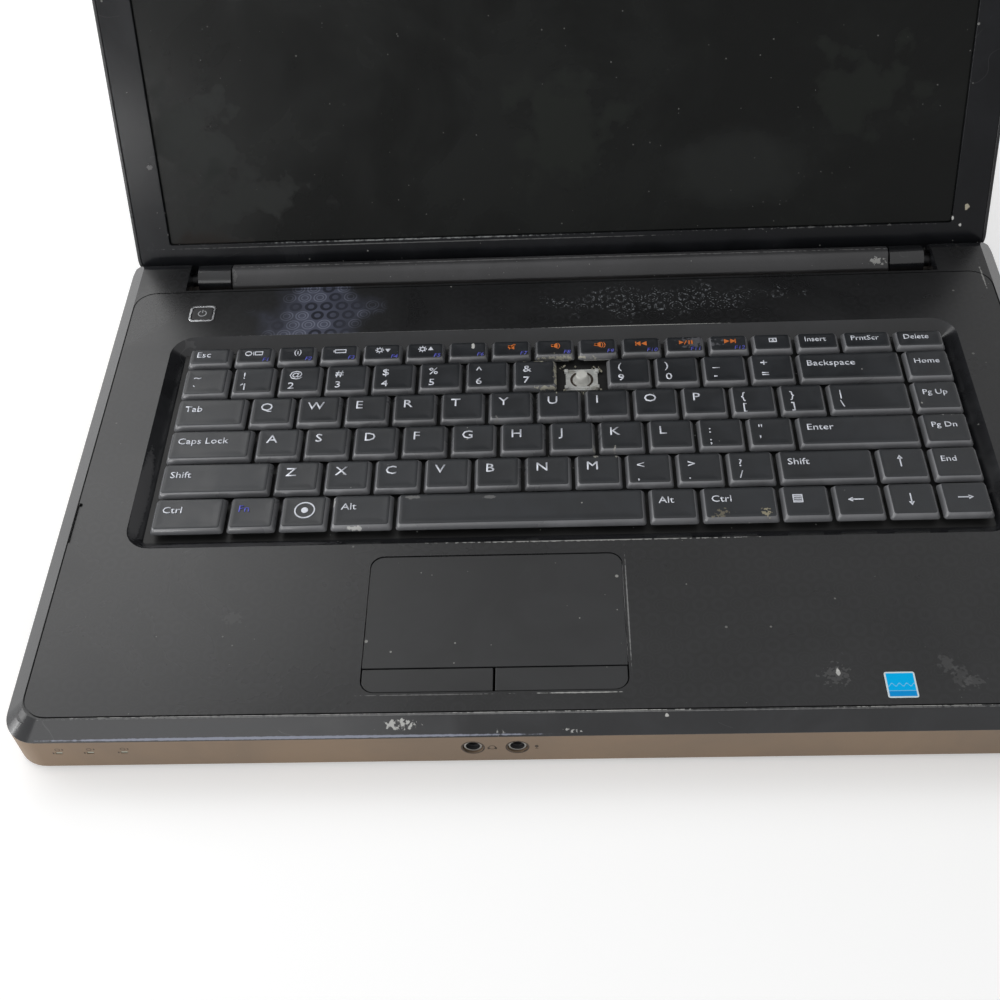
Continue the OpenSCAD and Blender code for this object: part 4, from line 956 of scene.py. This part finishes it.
def keep_print(flat, node, ink):
    """Gives a flat shape its thickness and keeps it for its node's print."""
    set_place(flat)
    bpy.ops.object.mode_set(mode="EDIT")
    bpy.ops.mesh.select_all(action="SELECT")
    bpy.ops.mesh.extrude_region_move(TRANSFORM_OT_translate={"value": (0, 0, ink_thick)})
    bpy.ops.mesh.select_all(action="SELECT")
    bpy.ops.mesh.normals_make_consistent(inside=False)
    bpy.ops.object.mode_set(mode="OBJECT")
    prints_of.setdefault((node, ink), []).append(flat)
    return flat


def print_words(node, ink, words, x, y, height, stretch=1.08, align="LEFT", slant=0.0):
    """Prints words in capitals of one height, from a place on the key's top."""
    bpy.ops.object.text_add(location=(x, y, ink_low))
    writing = bpy.context.object
    writing.data.body = words
    writing.data.size = height / capital_share
    writing.data.align_x = align
    writing.data.shear = slant
    writing.data.resolution_u = 2
    writing.data.offset = -0.004 * mm
    writing.scale = (stretch, 1, 1)
    pick(writing)
    bpy.ops.object.convert(target="MESH")
    return keep_print(bpy.context.object, node, ink)


def print_disc(node, ink, x, y, radius, sides=16, turn=0.0, stretch=1.0, line=None):
    """Prints a filled shape with equal sides, or only its outline where a line width is given."""
    bpy.ops.mesh.primitive_circle_add(vertices=sides, radius=radius, fill_type="NGON",
                                      location=(x, y, ink_low), rotation=(0, 0, turn))
    flat = bpy.context.object
    set_place(flat)
    select_faces(flat, lambda centre, normal: True)
    bpy.ops.transform.resize(value=(stretch, 1, 1))
    if line:
        bpy.ops.mesh.inset(thickness=line)
        bpy.ops.mesh.delete(type="FACE")
    leave_edit(flat)
    return keep_print(flat, node, ink)


def print_bar(node, ink, x, y, width, height, turn=0.0):
    """Prints a plain bar about its centre."""
    bpy.ops.mesh.primitive_plane_add(size=1, location=(x, y, ink_low), rotation=(0, 0, turn))
    flat = bpy.context.object
    flat.scale = (width, height, 1)
    return keep_print(flat, node, ink)


quarter = math.pi / 2


def print_arrow(node, x, y, turn):
    """A long thin arrow, turned from pointing right."""
    reach = Vector((math.cos(turn), math.sin(turn)))
    print_bar(node, "white", x, y, 4.6 * mm, 0.42 * mm, turn)
    print_disc(node, "white", x + reach.x * 2.2 * mm, y + reach.y * 2.2 * mm, 1.15 * mm, 3, turn - quarter)


# The four rows of letters and figures. A pair of signs is printed one over the other.
letter_height, sign_height, word_height = 4.0 * mm, 3.5 * mm, 3.0 * mm


def print_sign(node, corner, signs, upper_y, lower_y):
    """One letter, or two signs one over the other."""
    x = corner[0] + 4.1 * mm
    if len(signs) == 1:
        print_words(node, "white", signs, x, corner[1] + 8.2 * mm, letter_height, 1.12)
    else:
        print_words(node, "white", signs[0], x, corner[1] + upper_y, sign_height, 1.12)
        print_words(node, "white", signs[1], x, corner[1] + lower_y, sign_height, 1.12)


left_edge, nav_edge, right_edge = -1.06, 14.23, 15.25
print_sign("number_keys", add_cap("number_keys", 4, left_edge, 0), "~`", 8.6 * mm, 2.4 * mm)
lost_key = 7
for place, signs in enumerate("!1 @2 #3 $4 %5 ^6 &7 *8 (9 )0 _- +=".split()):
    if place != lost_key:
        corner = add_cap("number_keys", 4, place, place + 1)
        print_sign("number_keys", corner, signs, 9.1 * mm, 2.7 * mm)
        if place == 0:
            flag_x, flag_y = corner[0] + 4.3 * mm, corner[1] + 5.7 * mm
            print_bar("number_keys", "white", flag_x, flag_y, 1.3 * mm, 0.4 * mm, 0.7)
letter_rows = (
    ("upper_letter_keys", 3, 0.5, "Q W E R T Y U I O P {[ }]"),
    ("middle_letter_keys", 2, 0.75, "A S D F G H J K L :; \"'"),
    ("lower_letter_keys", 1, 1.25, "Z X C V B N M <, >. ?/"),
)
for node, row, first, signs_of_row in letter_rows:
    for place, signs in enumerate(signs_of_row.split()):
        corner = add_cap(node, row, first + place, first + place + 1)
        print_sign(node, corner, signs, 8.2 * mm, 2.4 * mm)


def add_word_key(node, row, start, end, words, ink="white"):
    """A cap with a word on it, which is smaller on the paging keys; returns its left front corner."""
    corner = add_cap(node, row, start, end)
    height = 2.6 * mm if node == "arrow_and_paging_keys" else word_height
    print_words(node, ink, words, corner[0] + 3.5 * mm, corner[1] + 8.5 * mm, height)
    return corner


add_word_key("backspace_key", 4, 12, nav_edge, "Backspace")
add_word_key("tab_key", 3, left_edge, 0.5, "Tab")
print_sign("backslash_key", add_cap("backslash_key", 3, 12.5, nav_edge), "|\\", 8.4 * mm, 2.8 * mm)
add_word_key("caps_lock_key", 2, left_edge, 0.75, "Caps Lock")
add_word_key("enter_key", 2, 11.75, nav_edge, "Enter")
add_word_key("left_shift_key", 1, left_edge, 1.25, "Shift")
add_word_key("right_shift_key", 1, 11.25, 13.2, "Shift")
for row, words in enumerate(("End", "Pg Dn", "Pg Up", "Home")):
    add_word_key("arrow_and_paging_keys", row + 1, nav_edge, right_edge, words)

# The bottom row: modifier keys, the space bar, and the arrows.
add_word_key("modifier_keys", 0, left_edge, 0.445, "Ctrl")
add_word_key("modifier_keys", 0, 0.445, 1.468, "Fn", "violet")
corner = add_cap("modifier_keys", 0, 1.468, 2.48)
system_x, system_y = corner[0] + 9.2 * mm, corner[1] + 8.6 * mm
print_disc("modifier_keys", "white", system_x, system_y, 3.9 * mm, 32, line=0.5 * mm)
print_disc("modifier_keys", "white", system_x, system_y, 1.3 * mm, 20)
add_word_key("modifier_keys", 0, 2.48, 3.75, "Alt")
add_cap("space_bar", 0, 3.75, 8.66)
add_word_key("modifier_keys", 0, 8.66, 9.67, "Alt")
add_word_key("modifier_keys", 0, 9.67, 11.2, "Ctrl")
corner = add_cap("modifier_keys", 0, 11.2, 12.2)
menu_x, menu_y = corner[0] + 6.0 * mm, corner[1] + 9.3 * mm
print_disc("modifier_keys", "white", menu_x, menu_y, 2.7 * mm, 4, quarter / 2, 0.95, 0.4 * mm)
for line in (-1, 0, 1):
    print_bar("modifier_keys", "white", menu_x, menu_y + line * 0.95 * mm, 2.6 * mm, 0.38 * mm)
arrows = "arrow_and_paging_keys"
arrow_places = ((12.2, 13.22, 2 * quarter), (13.22, nav_edge, -quarter), (nav_edge, right_edge, 0))
for start, end, turn in arrow_places:
    corner = add_cap(arrows, 0, start, end)
    print_arrow(arrows, corner[0] + 8.4 * mm, corner[1] + 8.3 * mm, turn)
corner = add_cap(arrows, 1, 13.2, nav_edge)
print_arrow(arrows, corner[0] + 8.2 * mm, corner[1] + 8.6 * mm, quarter)

# The function row: shallow caps with small signs above and a violet number at the lower right.
fn_pitch = 0.931
fn_node = "function_keys"


def print_sun(x, y):
    """A ring with eight rays, for the screen's brightness."""
    print_disc(fn_node, "white", x, y, 1.15 * mm, 14, line=0.36 * mm)
    for ray in range(8):
        turn = ray * quarter / 2
        print_bar(fn_node, "white", x + math.cos(turn) * 1.5 * mm, y + math.sin(turn) * 1.5 * mm,
                  0.5 * mm, 0.4 * mm, turn)


def print_speaker(x, y, waves):
    """A loudspeaker with none, one or two sound waves."""
    print_bar(fn_node, "orange", x - 1.1 * mm, y, 1.2 * mm, 1.3 * mm)
    print_disc(fn_node, "orange", x, y, 1.75 * mm, 3, quarter)
    for wave in range(waves):
        print_words(fn_node, "orange", ")", x + (1.0 + 0.9 * wave) * mm, y - 1.0 * mm, 2.4 * mm)


def print_sleep_battery(x, y):
    """The signs for sleep and for the battery, parted by a line."""
    print_disc(fn_node, "white", x - 2.9 * mm, y, 1.4 * mm, 8, line=0.36 * mm, stretch=1.1)
    print_words(fn_node, "white", "I", x - 1.2 * mm, y - 1.0 * mm, 2.1 * mm)
    print_disc(fn_node, "white", x + 1.4 * mm, y, 1.5 * mm, 4, quarter / 2, 1.6, 0.36 * mm)


def print_battery(x, y):
    """A battery on its side."""
    print_disc(fn_node, "white", x, y, 1.45 * mm, 4, quarter / 2, 2.3, 0.36 * mm)
    print_bar(fn_node, "white", x - 2.7 * mm, y, 0.5 * mm, 1.0 * mm)


def print_chevrons(x, y, turn):
    """Two triangles and a bar, for the track before or after."""
    for step in (-1.3, 1.2):
        print_disc(fn_node, "orange", x + step * mm, y, 1.4 * mm, 3, turn)
    print_bar(fn_node, "orange", x + (2.5 if turn < 0 else -2.5) * mm, y, 0.45 * mm, 2.3 * mm)


add_cap(fn_node, 5, left_edge, -0.05, fn_cap_depth)
fn_words_y = row_y(5) + 4.7 * mm
print_words(fn_node, "white", "Esc", key_x(left_edge) + 3.2 * mm, fn_words_y, word_height)
for place in range(13):
    start = place * fn_pitch - 0.05
    left, front = add_cap(fn_node, 5, start, start + fn_pitch, fn_cap_depth)
    right = key_x(start + fn_pitch) - cap_gap
    sign_x, sign_y = left + 8.6 * mm, front + 6.3 * mm
    if place < 12:
        print_words(fn_node, "violet", "F%d" % (place + 1), right - 1.7 * mm, front + 1.5 * mm,
                    2.0 * mm, 1.05, "RIGHT", 0.2)
    if place == 0:
        print_sleep_battery(sign_x, sign_y)
    elif place == 1:
        print_words(fn_node, "white", "(\u0131)", sign_x, sign_y - 1.1 * mm, 2.6 * mm, 1.1, "CENTER")
    elif place == 2:
        print_battery(sign_x, sign_y)
    elif place in (3, 4):
        print_sun(sign_x - 1.5 * mm, sign_y)
        print_disc(fn_node, "white", sign_x + 1.9 * mm, sign_y, 1.25 * mm, 3, (4 - place) * 2 * quarter)
    elif place == 6:
        print_speaker(sign_x, sign_y, 0)
        print_bar(fn_node, "orange", sign_x, sign_y, 3.6 * mm, 0.4 * mm, 0.8)
    elif place in (7, 8):
        print_speaker(sign_x, sign_y, place - 6)
    elif place == 9:
        print_chevrons(sign_x, sign_y, quarter)
    elif place == 10:
        print_disc(fn_node, "orange", sign_x - 2.0 * mm, sign_y, 1.2 * mm, 3, -quarter)
        print_bar(fn_node, "orange", sign_x, sign_y, 0.35 * mm, 2.4 * mm, -0.4)
        for step in (1.5, 2.6):
            print_bar(fn_node, "orange", sign_x + step * mm, sign_y, 0.6 * mm, 2.0 * mm)
    elif place == 11:
        print_chevrons(sign_x, sign_y, -quarter)
    elif place == 12:
        print_disc(fn_node, "white", sign_x, sign_y, 1.6 * mm, 4, quarter / 2, 1.4, 0.4 * mm)
        print_disc(fn_node, "white", sign_x, sign_y, 0.7 * mm, 3)
last_fn_keys = ((12.06, 13.04, "Insert"), (13.04, 14.15, "PrntScr"), (14.15, right_edge, "Delete"))
for start, end, words in last_fn_keys:
    add_cap(fn_node, 5, start, end, fn_cap_depth)
    print_words(fn_node, "white", words, key_x(start) + 3.4 * mm, fn_words_y + 0.4 * mm, 2.6 * mm, 1.0)

# Two dark curved slots flank the lost key's dome.
print_disc("scissor_frames", "sooty", lost_x, lost_y, 4.7 * mm, 36, line=0.75 * mm)
slots = prints_of[("scissor_frames", "sooty")][0]
select_faces(slots, lambda centre, normal: abs(centre.x - lost_x) < 1.9 * mm)
bpy.ops.mesh.delete(type="FACE")
leave_edit(slots)
slots.location.z = frame_top + 0.03 * mm - ink_low - ink_thick
set_place(slots)

# The power key's sign: an open ring with a bar, printed in pale grey.
power_low, power_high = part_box("power_button")
power_x, power_y = (power_low[0] + power_high[0]) / 2, (power_low[1] + power_high[1]) / 2
print_disc("power_button", "grey", power_x, power_y, 1.9 * mm, 28, line=0.42 * mm)
ring = prints_of[("power_button", "grey")][0]
ring_gap_y, ring_gap_half = power_y + 0.9 * mm, 0.75 * mm
select_faces(ring, lambda centre, normal:
             centre.y > ring_gap_y and abs(centre.x - power_x) < ring_gap_half)
bpy.ops.mesh.delete(type="FACE")
leave_edit(ring)
print_bar("power_button", "grey", power_x, power_y + 1.3 * mm, 0.42 * mm, 2.0 * mm)
for sign in prints_of[("power_button", "grey")]:
    sign.location.z = power_high[2] - cap_top

# Small dark signs are printed on the front wall, beside the jacks and above the status lights, and a
# dark ring of painted shade lies round each jack, where it sits in the wall.
front_wall_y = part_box("bottom_case")[0][1]
jack_height, light_sign_height = 10.4 * mm, 12.6 * mm


def stand_on_front_wall(signs):
    """Turns flat prints upright, onto the front wall."""
    for sign in signs:
        sign.rotation_euler = (quarter, 0, 0)
        sign.location = (0, front_wall_y + ink_low + ink_thick - 0.01 * mm, 0)


wall_node = "bottom_case"
head_x, mic_x = -25.6 * mm, -10.8 * mm
# The dark ring round each jack's hole is painted shade.
for jack_x in (-32 * mm, -17.2 * mm):
    print_disc(wall_node, "sooty", jack_x, jack_height, 4.0 * mm, 32, line=0.55 * mm)
print_disc(wall_node, "sooty", head_x, jack_height, 1.25 * mm, 16, line=0.32 * mm)
for side in (-1, 1):
    print_bar(wall_node, "sooty", head_x + side * 1.25 * mm, jack_height - 0.6 * mm, 0.65 * mm, 1.2 * mm)
print_disc(wall_node, "sooty", mic_x, jack_height + 0.4 * mm, 0.8 * mm, 12, stretch=0.8)
print_bar(wall_node, "sooty", mic_x, jack_height - 0.8 * mm, 0.22 * mm, 0.8 * mm)
print_bar(wall_node, "sooty", mic_x, jack_height - 1.15 * mm, 1.1 * mm, 0.22 * mm)
for light_x in (-171.5 * mm, -160.8 * mm, -149.3 * mm):
    print_disc(wall_node, "sooty", light_x, light_sign_height, 0.8 * mm, 10, line=0.22 * mm, stretch=1.2)
    print_bar(wall_node, "sooty", light_x + 1.7 * mm, light_sign_height, 0.5 * mm, 0.9 * mm)
    print_bar(wall_node, "sooty", light_x - 1.9 * mm, jack_height, 0.5 * mm, 0.9 * mm)
stand_on_front_wall(prints_of[(wall_node, "sooty")])
for signs in (prints_of[("power_button", "grey")], prints_of[(wall_node, "sooty")]):
    for sign in signs:
        set_place(sign)

for model in cap_models.values():
    pick(model)
    bpy.ops.object.delete()

# Under each cap stands a moulded rubber dome. The domes under one group of keys are parted off as one
# piece, which stays on the base, and the lost key's dome stays as it is.
dome_reach = 5 * mm
lost_dome = joined_copy("rubber_domes", "lost_key_dome")
give_finish(lost_dome, silicone)
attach(lost_dome, "base")
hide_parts("rubber_domes")
for node, caps in caps_of.items():
    middles = [cap.location.copy() for cap in caps]
    for cap in caps:
        set_place(cap)
    piece = joined(caps, "moulded_" + node)
    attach(piece, body_of_node(node))
    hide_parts(node)
    select_faces(lost_dome, lambda centre, normal: any(
        max(abs(centre.x - middle.x), abs(centre.y - middle.y)) < dome_reach for middle in middles))
    bpy.ops.mesh.separate(type="SELECTED")
    bpy.ops.object.mode_set(mode="OBJECT")
    domes = [part for part in bpy.context.selected_objects if part != lost_dome][0]
    domes.name = "domes_under_" + node
    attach(domes, "base")
    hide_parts("rubber_domes")
    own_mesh(domes)

# The prints of one colour on one node are one piece, in matt ink that is a little worn.
inks = {"white": colour(0.84, 0.87, 0.95), "violet": colour(0.13, 0.14, 0.62),
        "orange": colour(0.8, 0.22, 0.05), "grey": colour(0.4, 0.41, 0.43),
        "sooty": colour(0.05, 0.035, 0.025)}
ink_finishes = {}
for ink, tint in inks.items():
    ink_finishes[ink] = moulded_plastic(ink + "_ink", tint, 0.5, 0.3, clouds=300, cloud_tone=-0.12, dust=0)
for (node, ink), shapes in prints_of.items():
    piece = joined(shapes, ink + "_print_on_" + node)
    give_finish(piece, ink_finishes[ink])
    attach(piece, body_of_node(node))

# Dried residue round the lost key: small crumbs stuck to the plate and to the frame's corners,
# clear of the caps beside them.
random.seed(8)
crumbs = []
crumb_spread_x, crumb_spread_y, crumb_z = 1.0, 0.8, (18.8, 20.4)
crumb_spots = ((0.9, 4.4), (1.6, 4.9), (6.7, 5.3), (0.9, -9.0), (15.4, 3.4), (16.4, 2.6), (13.6, 4.8),
               (1.3, -8.4), (16.4, -8.6), (9.0, -9.0))
for spot_x, spot_y in crumb_spots:
    for crumb_number in range(4):
        bpy.ops.mesh.primitive_ico_sphere_add(
            subdivisions=1, radius=random.uniform(0.25, 0.7) * mm,
            rotation=[random.uniform(0, 3) for axis in range(3)],
            location=((spot_x + random.uniform(-crumb_spread_x, crumb_spread_x)) * mm,
                      (spot_y + random.uniform(-crumb_spread_y, crumb_spread_y)) * mm,
                      random.uniform(*crumb_z) * mm))
        crumb = bpy.context.object
        crumb.scale = (random.uniform(0.6, 1.5), random.uniform(0.6, 1.3), 0.6)
        set_place(crumb)
        apply_modifier(crumb, "SUBSURF", levels=1, render_levels=1)
        crumbs.append(crumb)
residue = joined(crumbs, "dried_residue")
bpy.ops.object.shade_smooth()
give_finish(residue, moulded_plastic("residue_crust", colour(0.5, 0.48, 0.38), 0.8, 0.2, clouds=500,
                                     cloud_tone=-0.3))
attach(residue, "base")
